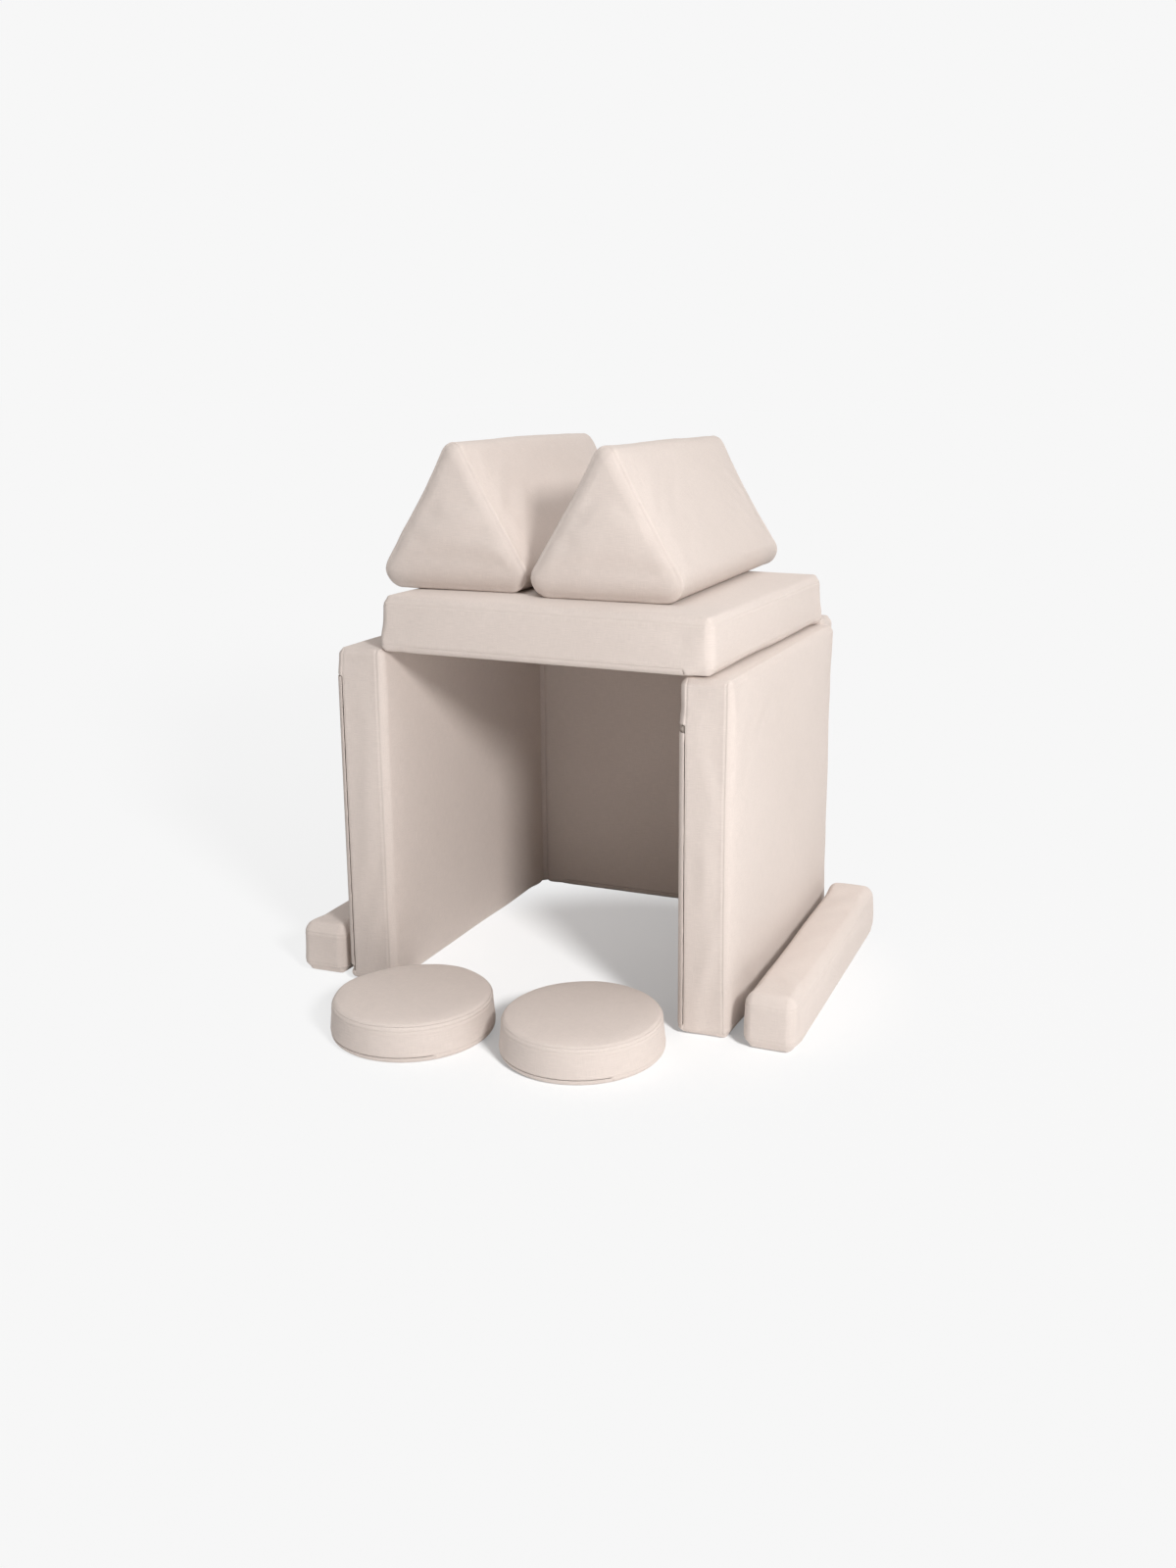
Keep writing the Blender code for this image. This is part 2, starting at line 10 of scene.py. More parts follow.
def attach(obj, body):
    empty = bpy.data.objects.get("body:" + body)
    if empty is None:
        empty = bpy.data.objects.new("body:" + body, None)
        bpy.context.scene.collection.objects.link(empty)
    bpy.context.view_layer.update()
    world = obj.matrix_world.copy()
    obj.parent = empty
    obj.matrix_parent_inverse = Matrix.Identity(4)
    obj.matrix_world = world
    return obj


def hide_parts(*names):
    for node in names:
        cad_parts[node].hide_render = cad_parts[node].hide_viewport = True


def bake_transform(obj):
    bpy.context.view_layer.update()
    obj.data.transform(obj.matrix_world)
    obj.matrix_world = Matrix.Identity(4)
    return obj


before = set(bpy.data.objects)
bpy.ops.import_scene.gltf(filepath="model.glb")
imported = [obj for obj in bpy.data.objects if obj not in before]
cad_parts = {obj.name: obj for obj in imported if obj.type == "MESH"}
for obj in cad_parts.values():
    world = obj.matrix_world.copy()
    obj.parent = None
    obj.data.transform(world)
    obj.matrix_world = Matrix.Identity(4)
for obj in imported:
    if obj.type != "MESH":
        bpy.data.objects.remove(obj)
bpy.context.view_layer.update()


# Materials

def tint(colour, share):
    return tuple(min(1.0, c * share) for c in colour)


def grey(level):
    return (level, level, level)


def opaque(colour):
    """A colour gets full alpha. A socket stays as it is."""
    return (*colour, 1.0) if isinstance(colour, tuple) else colour


class Nodes:
    """Short calls for building the node tree of a new material, or of a new world."""

    def __init__(self, name, world=False):
        self.owner = (bpy.data.worlds if world else bpy.data.materials).new(name)
        self.owner.use_nodes = True
        self.tree = self.owner.node_tree
        self.shader = self.tree.nodes.get("Principled BSDF")

    def fill(self, node, inputs):
        """Gives a node its inputs. A socket is linked, anything else is set as a constant."""
        for key, value in inputs.items():
            if isinstance(value, bpy.types.NodeSocket):
                self.tree.links.new(value, node.inputs[key])
            else:
                node.inputs[key].default_value = value

    def add(self, kind, inputs=None, **settings):
        node = self.tree.nodes.new(kind)
        for key, value in settings.items():
            setattr(node, key, value)
        self.fill(node, inputs or {})
        return node

    def math(self, operation, a, b=0.5, clamp=False):
        return self.add("ShaderNodeMath", {0: a, 1: b}, operation=operation, use_clamp=clamp).outputs[0]

    def times(self, a, b):
        return self.math("MULTIPLY", a, b)

    def plus(self, a, b):
        return self.math("ADD", a, b)

    def above(self, value, low, gain):
        """How far a value lies above low, times gain, between 0 and 1."""
        return self.math("MULTIPLY", self.math("SUBTRACT", value, low, clamp=True), gain, clamp=True)

    def ramp(self, value, low, high):
        """A colour ramp between two stops, each a place and a colour."""
        node = self.add("ShaderNodeValToRGB", {"Fac": value})
        for element, (place, colour) in zip(node.color_ramp.elements, (low, high)):
            element.position = place
            element.color = opaque(colour)
        return node.outputs["Color"]

    def mix(self, fac, a, b, blend="MIX"):
        inputs = {0: fac, 6: opaque(a), 7: opaque(b)}
        return self.add("ShaderNodeMix", inputs, data_type="RGBA", blend_type=blend).outputs[2]

    def vector(self, operation, a, b=(0.0, 0.0, 0.0)):
        return self.add("ShaderNodeVectorMath", {0: a, 1: b}, operation=operation).outputs

    def noise(self, vector, scale, detail=2.0):
        inputs = {"Vector": vector, "Scale": scale, "Detail": detail}
        return self.add("ShaderNodeTexNoise", inputs).outputs["Fac"]

    def bump(self, strength, distance, height, **normal):
        inputs = {"Strength": strength, "Distance": distance, "Height": height, **normal}
        return self.add("ShaderNodeBump", inputs).outputs[0]

    def streaks(self, u, v, u_scale, v_scale, detail):
        """Noise drawn out along one thread direction."""
        stretched = self.add("ShaderNodeCombineXYZ", {0: self.times(u, u_scale), 1: self.times(v, v_scale)})
        return self.noise(stretched.outputs[0], 1.0, detail)

    def place(self):
        return self.add("ShaderNodeTexCoord").outputs["Object"]

    def edges(self, high):
        """Black on flat and hollow places, white on sharp edges."""
        pointed = self.add("ShaderNodeNewGeometry").outputs["Pointiness"]
        return self.ramp(pointed, (0.50, grey(0.0)), (high, grey(1.0)))

    def cloth(self):
        """The panel UV map, in metres along and across each panel, and its two parts."""
        uv = self.add("ShaderNodeUVMap", uv_map="panel").outputs["UV"]
        split = self.add("ShaderNodeSeparateXYZ", {0: uv})
        return uv, split.outputs[0], split.outputs[1]


THREAD_PITCH = 0.00085
LONG_SLUB = 45.0
FINE_SLUB = 1150.0


def linen(name, colour, slub=1.0, bump=0.35):
    """Slubby plain weave, with thick and thin threads as streaks along each thread direction."""
    n = Nodes(name)
    uv, u, v = n.cloth()
    here = n.place()
    wander = n.times(n.math("SUBTRACT", n.noise(uv, 90.0), 0.5), THREAD_PITCH * 0.9)
    warp_turn = n.times(n.plus(u, wander), math.pi / THREAD_PITCH)
    weft_turn = n.times(n.plus(v, wander), math.pi / THREAD_PITCH)
    over = n.times(n.math("SINE", warp_turn), n.math("SINE", weft_turn))
    warp_body = n.math("ABSOLUTE", n.math("COSINE", warp_turn))
    weft_body = n.math("ABSOLUTE", n.math("COSINE", weft_turn))
    top = n.math("GREATER_THAN", over, 0.0)
    height = n.plus(n.times(top, warp_body), n.times(n.math("SUBTRACT", 1.0, top), weft_body))
    weft_slub = n.streaks(u, v, LONG_SLUB, FINE_SLUB, 1.0)
    warp_slub = n.streaks(u, v, FINE_SLUB, LONG_SLUB, 1.0)
    long_slub = n.streaks(u, v, 14.0, 420.0, 2.0)
    streak = n.plus(n.times(weft_slub, 0.6), n.times(warp_slub, 0.4))
    base = n.mix(n.above(streak, 0.30, 2.2), tint(colour, 0.90), tint(colour, 1.055))
    base = n.mix(n.above(long_slub, 0.62, 1.6 * slub), base, tint(colour, 1.10))
    # Painted shade: the weave is darker where its threads dip under each other, in the gaps between them.
    painted_weave_shade = n.ramp(height, (0.0, (0.80, 0.79, 0.78)), (0.55, grey(1.0)))
    base = n.mix(0.55, base, painted_weave_shade, "MULTIPLY")
    mottle = n.above(n.noise(here, 38.0), 0.40, 0.35)
    base = n.mix(mottle, base, tint(colour, 0.93))
    clouds = n.ramp(n.noise(here, 2.6, 3.0), (0.30, (0.965, 0.963, 0.960)), (0.72, grey(1.0)))
    base = n.mix(1.0, base, clouds, "MULTIPLY")
    relief = n.plus(n.times(height, 0.55), n.plus(n.times(streak, 0.75), n.times(long_slub, 0.4)))
    fine = n.bump(bump, 0.0006, relief)
    n.fill(n.shader, {
        "Base Color": n.mix(n.times(n.edges(0.60), 0.08), base, tint(colour, 1.12)),
        "Roughness": n.ramp(height, (0.0, grey(0.98)), (1.0, grey(0.86))),
        "Sheen Weight": 0.22,
        "Sheen Roughness": 0.45,
        "Sheen Tint": (0.95, 0.90, 0.86, 1.0),
        "Specular IOR Level": 0.25,
        "Normal": n.bump(0.35, 0.0035, n.noise(here, 17.0, 3.0), Normal=fine),
    })
    return n.owner


RIBS = 5200.0


def tape_material(name, colour):
    """Woven zip tape: a close herringbone rib, with painted shade in the grooves between its ribs."""
    n = Nodes(name)
    uv, u, v = n.cloth()
    slant = n.plus(n.times(u, RIBS), n.times(n.math("PINGPONG", v, 0.0012), RIBS))
    rib = n.math("SINE", slant)
    # Painted shade: the tape is darker in the grooves between its ribs.
    base = n.mix(n.times(n.plus(rib, 1.0), 0.5), tint(colour, 0.80), colour)
    n.fill(n.shader, {
        "Base Color": n.mix(n.times(n.noise(uv, 2500.0), 0.25), base, tint(colour, 1.15)),
        "Roughness": 0.85,
        "Normal": n.bump(0.4, 0.0002, rib),
    })
    return n.owner


def nylon(name, colour):
    n = Nodes(name)
    wear = n.noise(n.place(), 160.0, 3.0)
    n.fill(n.shader, {
        "Base Color": n.mix(wear, tint(colour, 0.85), tint(colour, 1.15)),
        "Roughness": n.ramp(wear, (0.3, grey(0.32)), (0.8, grey(0.5))),
    })
    return n.owner


def dull_metal(name, colour):
    n = Nodes(name)
    wear = n.noise(n.place(), 420.0, 4.0)
    base = n.mix(wear, tint(colour, 0.85), tint(colour, 1.1))
    n.fill(n.shader, {
        "Base Color": n.mix(n.times(n.edges(0.62), 0.5), base, (0.70, 0.64, 0.58)),
        "Metallic": 0.35,
        "Roughness": n.ramp(wear, (0.2, grey(0.30)), (0.8, grey(0.48))),
        "Normal": n.bump(0.25, 0.0001, wear),
    })
    return n.owner


BEIGE = (0.735, 0.640, 0.585)
CLOTH = linen("beige_linen", BEIGE)
PIPING = linen("beige_linen_seam", tint(BEIGE, 1.02), slub=0.3, bump=0.45)
TAPE = tape_material("zip_tape_weave", (0.46, 0.40, 0.35))
CHAIN = nylon("zip_chain_nylon", (0.40, 0.35, 0.31))
METAL = dull_metal("zip_slider_metal_finish", (0.50, 0.43, 0.38))


# Objects

def linked(name, data, place=Matrix.Identity(4)):
    """A new object in the scene."""
    made = bpy.data.objects.new(name, data)
    made.matrix_world = place
    bpy.context.scene.collection.objects.link(made)
    return made


def mesh_of(name, points, faces):
    mesh = bpy.data.meshes.new(name)
    mesh.from_pydata([tuple(v) for v in points], [], faces)
    return mesh


def panel_mesh(name, points, faces, uvs):
    """A mesh with the panel UV map."""
    mesh = mesh_of(name, points, faces)
    layer = mesh.uv_layers.new(name="panel")
    layer.data.foreach_set("uv", np.array([c for uv in uvs for pair in uv for c in pair], np.float32))
    return mesh


# Sharp forms, as grids of points

ARC = (45, 38, 31, 24, 17, 10, 3)
SPACING = 0.012
LEAST_SPACING = 0.0009


def lines(length, edge, spacing, extras=(), half_sweep=45):
    """Grid lines along a side from -length/2 to length/2: close over the rounded edges, wide between them.

    extras are further places, such as the two sides of a seam. A line that stands too near one gives way.
    """
    reach = edge * math.tan(math.radians(half_sweep))
    turns = [half_sweep * a / 45 for a in ARC]
    arc = [reach - edge * math.tan(math.radians(a)) for a in turns]
    start = arc[-1]
    count = max(1, round((length / 2 - start) / spacing))
    flat = [start + (length / 2 - start) * i / count for i in range(1, count + 1)]
    base = [x - length / 2 for x in arc + flat]
    base = base + [-x for x in base[:-1]]
    kept = [b for b in base if abs(b) > length / 2 - 1e-6 or all(abs(b - e) > LEAST_SPACING for e in extras)]
    return sorted(set(np.round(kept + list(extras), 6)))


class Grid:
    """A closed surface put together from patches of points. Equal points become one."""

    def __init__(self):
        self.points, self.faces, self.uvs, self.index = [], [], [], {}

    def vertex(self, p):
        k = (round(p[0] * 1e5), round(p[1] * 1e5), round(p[2] * 1e5))
        if k not in self.index:
            self.index[k] = len(self.points)
            self.points.append(p)
        return self.index[k]

    def patch(self, rows, cols, place, panel, flip=False):
        """A rows by cols grid. place gives a point, panel its place on the cloth in metres."""
        ids = [[self.vertex(place(r, c)) for c in cols] for r in rows]
        uv = [[panel(r, c) for c in cols] for r in rows]
        for i in range(len(rows) - 1):
            for j in range(len(cols) - 1):
                quad = [(i, j), (i, j + 1), (i + 1, j + 1), (i + 1, j)]
                if flip:
                    quad.reverse()
                loop, cloth = [], []
                for a, b in quad:
                    if ids[a][b] not in loop:
                        loop.append(ids[a][b])
                        cloth.append(uv[a][b])
                if len(loop) > 2:
                    self.faces.append(loop)
                    self.uvs.append(cloth)

    def array(self):
        return np.array(self.points, float)


def box_grid(xs, ys, zs):
    g = Grid()
    for x, flip in ((xs[0], True), (xs[-1], False)):
        g.patch(ys, zs, lambda y, z, x=x: (x, y, z), lambda y, z: (y, z), not flip)
    for y, flip in ((ys[0], False), (ys[-1], True)):
        g.patch(xs, zs, lambda x, z, y=y: (x, y, z), lambda x, z: (x, z), not flip)
    for z, flip in ((zs[0], True), (zs[-1], False)):
        g.patch(xs, ys, lambda x, y, z=z: (x, y, z), lambda x, y: (x, y), not flip)
    return g


def triangle(edge):
    """The corners of an equilateral triangle that stands on its base."""
    tall = edge * math.sqrt(3) / 2
    return [np.array((-edge / 2, 0.0)), np.array((edge / 2, 0.0)), np.array((0.0, tall))]


def prism_grid(edge, ts, ys):
    """An equilateral prism. ts are lines along each edge, from -edge/2 to edge/2."""
    g = Grid()
    corners = triangle(edge)
    for i in range(3):
        a, b = corners[i], corners[(i + 1) % 3]

        def place(t, y, a=a, b=b):
            p = a + (b - a) * (t / edge + 0.5)
            return (p[0], y, p[1])

        g.patch(ts, ys, place, lambda t, y, i=i: (t + i * edge, y), True)
    half = [t for t in ts if t <= 1e-9]
    share = [(t + edge / 2) / (edge / 2) for t in half]
    centre = sum(corners) / 3
    for y, flip in ((ys[0], False), (ys[-1], True)):
        for i in range(3):
            c = corners[i]
            m = (c + corners[(i + 1) % 3]) / 2
            n = (c + corners[i - 1]) / 2

            def place(a, b, c=c, m=m, n=n, y=y):
                p = c * (1 - a) * (1 - b) + m * a * (1 - b) + n * (1 - a) * b + centre * a * b
                return (p[0], y, p[1])

            g.patch(share, share, place, lambda a, b, place=place: (place(a, b)[0], place(a, b)[2]), flip)
    return g


def disc_grid(radius, rings, levels, count):
    """A cylinder. rings run from the rim to the middle, levels from bottom to top."""
    g = Grid()
    turns = [math.tau * i / count for i in range(count + 1)]

    def at(r, a, z):
        return (r * math.cos(a), r * math.sin(a), z)

    for z, flip in ((levels[0], False), (levels[-1], True)):
        g.patch(rings, turns, lambda r, a, z=z: at(r, a, z), lambda r, a: at(r, a, 0.0)[:2], flip)
    g.patch(levels, turns, lambda z, a: at(radius, a, z), lambda z, a: (a * radius, z), False)
    return g


# Cushions

def soft_wave(p, scale, seed):
    """A smooth field from a few sine waves, about -1 to 1."""
    turns = np.random.default_rng(seed)
    total = np.zeros(len(p))
    for _ in range(7):
        way = turns.normal(size=3)
        way /= np.linalg.norm(way)
        total += np.sin(p @ way * scale * turns.uniform(0.6, 1.7) + turns.uniform(0, math.tau))
    return total / 3.2


def bump_line(s, width):
    return np.exp(-(s / width) ** 2)


SEAM_DEPTH = 0.0008
WELT_RISE = 0.0003
WELT_OFF = 0.0042
SEAM_ROWS = (-0.0085, -WELT_OFF, -0.0016, 0.0, 0.0016, WELT_OFF, 0.0085)


def ripples(along, waves, seed):
    """A ripple along a seam, from a few sine waves of the given frequencies."""
    turns = np.random.default_rng(seed)
    return sum(np.sin(along * k + turns.uniform(0, math.tau)) for k in waves) / len(waves)


def seam_relief(s, along, seed, width):
    """How far the surface moves at a seam: a groove, and the turned-in cloth as a low welt on both sides."""
    ripple = ripples(along, (190.0, 310.0, 97.0, 463.0), seed)
    groove = SEAM_DEPTH * bump_line(s, width) * (1 + 0.35 * ripple)
    welt = WELT_RISE * bump_line(np.abs(s) - WELT_OFF, 0.0026) * (1 + 0.56 * ripple)
    return welt - groove


class Cushion:
    """One padded block in its own frame. The zip runs along Y, at the edge that faces +X and -Z."""

    def __init__(self, name, place, grid, points, normals, seam):
        self.name, self.place, self.grid = name, place, grid
        self.p, self.n, self.seam = points, normals, seam
        self.seed = sum(map(ord, name))

    def push(self, amount):
        self.p = self.p + self.n * amount[:, None]

    def object(self):
        mesh = panel_mesh(self.name, self.p, self.grid.faces, self.grid.uvs)
        mesh.shade_smooth()
        mesh.materials.append(CLOTH)
        made = linked(self.name, mesh, self.place)
        smooth = made.modifiers.new("smooth", "SUBSURF")
        smooth.levels = smooth.render_levels = 1
        smooth.uv_smooth = "NONE"
        return made


CLOTH_VOXEL = 0.011
CLOTH_FRAMES = 20
CLOTH_PRESSURE = 4.0
FOAM_HOLD = 0.25
SEAM_SHRINK = 0.06
SEAM_REACH = 0.008
LEAST_WEIGHT = 0.02
MOST_OUT = 0.0030
MOST_IN = 0.0045


def tree_of(points):
    tree = KDTree(len(points))
    for i, point in enumerate(points):
        tree.insert(point, i)
    tree.balance()
    return tree


def blown_cover(cushion, held):
    """The cover as cloth over its foam: blown up a little, with seams that draw it in.

    Gives the points before, and how they move.
    """
    mesh = mesh_of("cloth_trial", cushion.p, cushion.grid.faces)
    trial = linked("cloth_trial", mesh)
    remesh = trial.modifiers.new("even", "REMESH")
    remesh.mode = "VOXEL"
    remesh.voxel_size = CLOTH_VOXEL
    even = bpy.data.meshes.new_from_object(trial.evaluated_get(bpy.context.evaluated_depsgraph_get()))
    trial.modifiers.clear()
    trial.data = even
    start = np.empty(len(even.vertices) * 3)
    even.vertices.foreach_get("co", start)
    start = start.reshape(-1, 3)
    tree = tree_of(cushion.p)
    near = [tree.find(v)[1] for v in start]
    seam = bump_line(cushion.seam, SEAM_REACH)[near]
    foam = np.maximum(held[near], FOAM_HOLD * (1 - 0.9 * seam))
    for group, weights in (("seam", seam), ("foam", foam)):
        made = trial.vertex_groups.new(name=group)
        for i in np.flatnonzero(weights > LEAST_WEIGHT):
            made.add([int(i)], float(weights[i]), "REPLACE")
    cloth = trial.modifiers.new("cover", "CLOTH")
    cloth.point_cache.frame_start, cloth.point_cache.frame_end = 1, CLOTH_FRAMES
    settings = cloth.settings
    settings.quality = 4
    settings.mass = 0.3
    for stiffness in ("tension_stiffness", "compression_stiffness", "shear_stiffness"):
        setattr(settings, stiffness, 60.0)
    settings.bending_stiffness = 1.5
    settings.air_damping = 2.0
    settings.use_pressure = True
    settings.uniform_pressure_force = CLOTH_PRESSURE
    settings.effector_weights.gravity = 0.0
    settings.vertex_group_mass = "foam"
    settings.vertex_group_shrink = "seam"
    settings.shrink_min, settings.shrink_max = 0.0, SEAM_SHRINK
    for frame_number in range(1, CLOTH_FRAMES + 1):
        bpy.context.scene.frame_set(frame_number)
    ended = trial.evaluated_get(bpy.context.evaluated_depsgraph_get())
    end = np.empty(len(start) * 3)
    ended.to_mesh().vertices.foreach_get("co", end)
    ended.to_mesh_clear()
    moves = end.reshape(-1, 3) - start
    bpy.data.objects.remove(trial)
    bpy.data.meshes.remove(even)
    bpy.data.meshes.remove(mesh)
    bpy.context.scene.frame_set(1)
    return start, moves


def settle(cushion, rests):
    """Gives the fine mesh the blown cover's swell, draw and puckers. rests is 1 on faces that bear."""
    uneven = 0.0011 * soft_wave(cushion.p, 15.0, cushion.seed)
    uneven += 0.0004 * soft_wave(cushion.p, 60.0, cushion.seed + 1)
    cushion.p = cushion.p + cushion.n * (uneven * (1 - rests))[:, None]
    start, moves = blown_cover(cushion, rests)
    tree = tree_of(start)
    moved = np.zeros_like(cushion.p)
    for i, point in enumerate(cushion.p):
        found = tree.find_n(point, 20)
        weights = np.exp(-(np.array([f[2] for f in found]) / (1.4 * CLOTH_VOXEL)) ** 2)
        moved[i] = weights @ moves[[f[1] for f in found]] / weights.sum()
    out = (moved * cushion.n).sum(1)
    along = moved - cushion.n * out[:, None]
    out = np.where(out > 0, MOST_OUT * np.tanh(out / MOST_OUT), MOST_IN * np.tanh(out / MOST_IN))
    reach = np.linalg.norm(along, axis=1)[:, None]
    along *= MOST_OUT * np.tanh(reach / MOST_OUT) / np.maximum(reach, 1e-9)
    free = (1 - rests)[:, None]
    cushion.p = cushion.p + (cushion.n * out[:, None] + along * 0.5) * free


def unit(v):
    return v / np.maximum(np.linalg.norm(v, axis=1), 1e-9)[:, None]


def rounded(points, core, radius):
    """Points moved to a radius about their closest core points, and their normals."""
    n = unit(points - core)
    return core + n * radius, n


def blended(a, b, share):
    """Between two forms, each points and normals: a where share is 0, b where it is 1."""
    share = share[:, None]
    return a[0] + (b[0] - a[0]) * share, unit(a[1] + (b[1] - a[1]) * share)


def ramp(x, low, high):
    """0 below low, 1 above high, smooth between them."""
    t = np.clip((x - low) / (high - low), 0, 1)
    return t * t * (3 - 2 * t)


def near_zip(points, centre, radius, span):
    """1 on the rounded edge that holds the zip, 0 away from it."""
    away = np.linalg.norm(points[:, [0, 2]] - centre, axis=1)
    beyond = np.maximum(span[0] - points[:, 1], points[:, 1] - span[1])
    return (1 - ramp(away, radius * 1.9, radius * 3.2)) * (1 - ramp(beyond, 0.004, 0.030))


COVER_AND_GAP = 0.0019
TAPE_ROOM = 0.0012


def past_flat(o, radius, facing, half_sweep):
    """How far points about an arc's centre stand past the flat that the zip lies on."""
    turn = np.abs(np.angle((o[:, 0] + 1j * o[:, 1]) * np.exp(-1j * facing)))
    inside = (turn < half_sweep - 0.02) & (np.linalg.norm(o, axis=1) > radius * 0.6)
    depth = (radius - COVER_AND_GAP) * math.cos(half_sweep) - TAPE_ROOM
    return np.maximum(0.0, o @ np.array([math.cos(facing), math.sin(facing)]) - depth) * inside


def recess(points, radius, centre, span, cut, facing, half_sweep):
    """Flattens the rounded edge behind the zip, so that the cloth's cut edges stand up beside it."""
    over = past_flat(points[:, [0, 2]] - centre, radius, facing, half_sweep)
    over = over * ((points[:, 1] > span[0] + cut / 2) & (points[:, 1] < span[1] - cut / 2))
    points = points.copy()
    points[:, [0, 2]] -= over[:, None] * np.array([math.cos(facing), math.sin(facing)])
    return points


def zip_lines(span, cut):
    """Grid lines on both sides of a zip's two ends."""
    return [span[0], span[0] + cut, span[1] - cut, span[1]]


FACES = ((0, -1), (0, 1), (2, -1), (2, 1), (1, -1), (1, 1))
CUT = 0.0005
CRISP_REACH = (0.030, 0.055)
PRESS_REACH = (0.012, 0.065)
RIM_SAG = 0.0014


def from_edge(sharp, half, edge):
    """How far each point lies from a box's edge."""
    return np.hypot(*(half[a] - sharp[:, a] * side for a, side in edge))


def from_seams(sharp, axis, off):
    """How far each point lies from the nearer of two seams, one on each side of the middle."""
    return np.minimum(np.abs(sharp[:, axis] - off), np.abs(sharp[:, axis] + off))


def rim_of(sharp, half, axis, side):
    """1 along the rim of one face, 0 away from it."""
    across = [ramp(np.abs(sharp[:, a]), half[a] - 0.034, half[a] - 0.006) for a in (0, 1, 2) if a != axis]
    return np.max(across, 0) * ramp(sharp[:, axis] * side, half[axis] - 0.026, half[axis])


def crown_and_draw(p, n, half, crowns, draws):
    """How the faces of a box swell in their middle and pull in between their corners."""
    shape = np.zeros_like(p)
    q = p / half
    for i, (axis, side) in enumerate(FACES):
        fill = np.ones(len(p))
        for a in (0, 1, 2):
            if a != axis:
                fill *= 1 - np.abs(np.clip(q[:, a], -1, 1)) ** 4
        facing = np.clip(n[:, axis] * side, 0, 1) ** 2
        shape[:, axis] += side * crowns[i] * fill * facing
        slack = 1 - np.clip(q[:, 0 if axis == 1 else 1], -1, 1) ** 2
        shape[:, axis] -= side * draws[i] * slack * np.clip(q[:, axis] * side, 0, 1)
    return shape


def pressed(points, sharp, half, edge, low_end, high_end):
    """An edge gives outward onto a neighbour, by low_end at its low end and high_end at its high end."""
    lengthwise = 3 - edge[0][0] - edge[1][0]
    share = (sharp[:, lengthwise] / half[lengthwise] + 1) / 2
    near = 1 - ramp(from_edge(sharp, half, edge), *PRESS_REACH)
    give = (low_end + (high_end - low_end) * share) * near
    for axis, side in edge:
        points[:, axis] += side * give / math.sqrt(2)


def block(name, place, size, base, radius, soft, seams, crowns, draws, rests, zip_span, crisp, press):
    """A box-shaped cushion. crowns, draws and rests are given for -X, +X, -Z, +Z, -Y and +Y.

    seams is the axis that the two seams face, and how far in from the faces they lie.
    crisp holds the edges that keep the smaller radius, each as two axes with the sides that meet there.
    press is an edge that sinks onto a neighbour, and how far it gives at its low end and at its high end.
    """
    half = np.array(size) / 2
    axis = seams[0]
    seam_at = half[axis] - seams[1]
    rows = {0: [], 2: []}
    rows[axis] = [side * seam_at + row for side in (-1, 1) for row in SEAM_ROWS]
    xs = lines(size[0], soft, SPACING, rows[0] + [half[0] - radius, half[0] - radius + CUT])
    zs = lines(size[2], soft, SPACING, rows[2] + [radius - half[2], radius - half[2] - CUT])
    ys = lines(size[1], soft, SPACING, zip_lines(zip_span, CUT))
    g = box_grid(xs, ys, zs)
    sharp = g.array()
    centre = np.array([half[0] - radius, radius - half[2]])
    keep = near_zip(sharp, centre, radius, zip_span)
    for edge in crisp:
        keep = np.maximum(keep, 1 - ramp(from_edge(sharp, half, edge), *CRISP_REACH))
    soft_form = rounded(sharp, np.clip(sharp, soft - half, half - soft), soft)
    tight_form = rounded(sharp, np.clip(sharp, radius - half, half - radius), radius)
    p, n = blended(soft_form, tight_form, keep)
    p = p + crown_and_draw(p, n, half, crowns, draws)
    made = Cushion(name, place, g, p, n, from_seams(sharp, axis, seam_at))
    flat = np.zeros(len(p))
    for bears, (down, side) in zip(rests, FACES):
        if bears:
            flat = np.maximum(flat, ramp(n[:, down] * side, 0.75, 0.97))
            sag = RIM_SAG * rim_of(sharp, half, down, side) * (1 - keep)
            made.p[:, down] -= side * sag * (1 + soft_wave(sharp, 22.0, made.seed + 2))
    settle(made, np.maximum(keep, flat))
    relief = seam_relief(made.seam, sharp[:, 1] + sharp[:, 2 - axis] * 1.3, made.seed, 0.0022)
    made.push(relief - np.maximum(relief, 0.0) * flat)
    if press:
        pressed(made.p, sharp, half, *press)
    made.p = recess(made.p, radius, centre, zip_span, CUT, -math.pi / 4, math.pi / 4)
    made.p[:, 2] += base + half[2]
    made.path = Path(place, (centre[0], base + radius), -math.pi / 4, math.pi / 4, radius, *zip_span)
    return made


def closest_in_triangle(q, corners):
    """Closest points of a triangle, for points in its plane."""
    best = q.copy()
    inside = np.ones(len(q), bool)
    far = np.full(len(q), np.inf)
    for i in range(3):
        a, b = corners[i], corners[(i + 1) % 3]
        e = b - a
        outward = np.array([e[1], -e[0]]) / np.linalg.norm(e)
        inside &= (q - a) @ outward <= 1e-12
        t = np.clip((q - a) @ e / (e @ e), 0, 1)
        c = a + t[:, None] * e
        d = np.linalg.norm(q - c, axis=1)
        take = d < far
        best[take] = c[take]
        far = np.minimum(far, d)
    best[inside] = q[inside]
    return best


APEX = 0.0300
PRISM_CUT = 0.0006
PRISM_END = 0.012
PRISM_SEAM_IN = 0.0095
PRISM_ROWS = (-0.0125, *SEAM_ROWS[:-1])


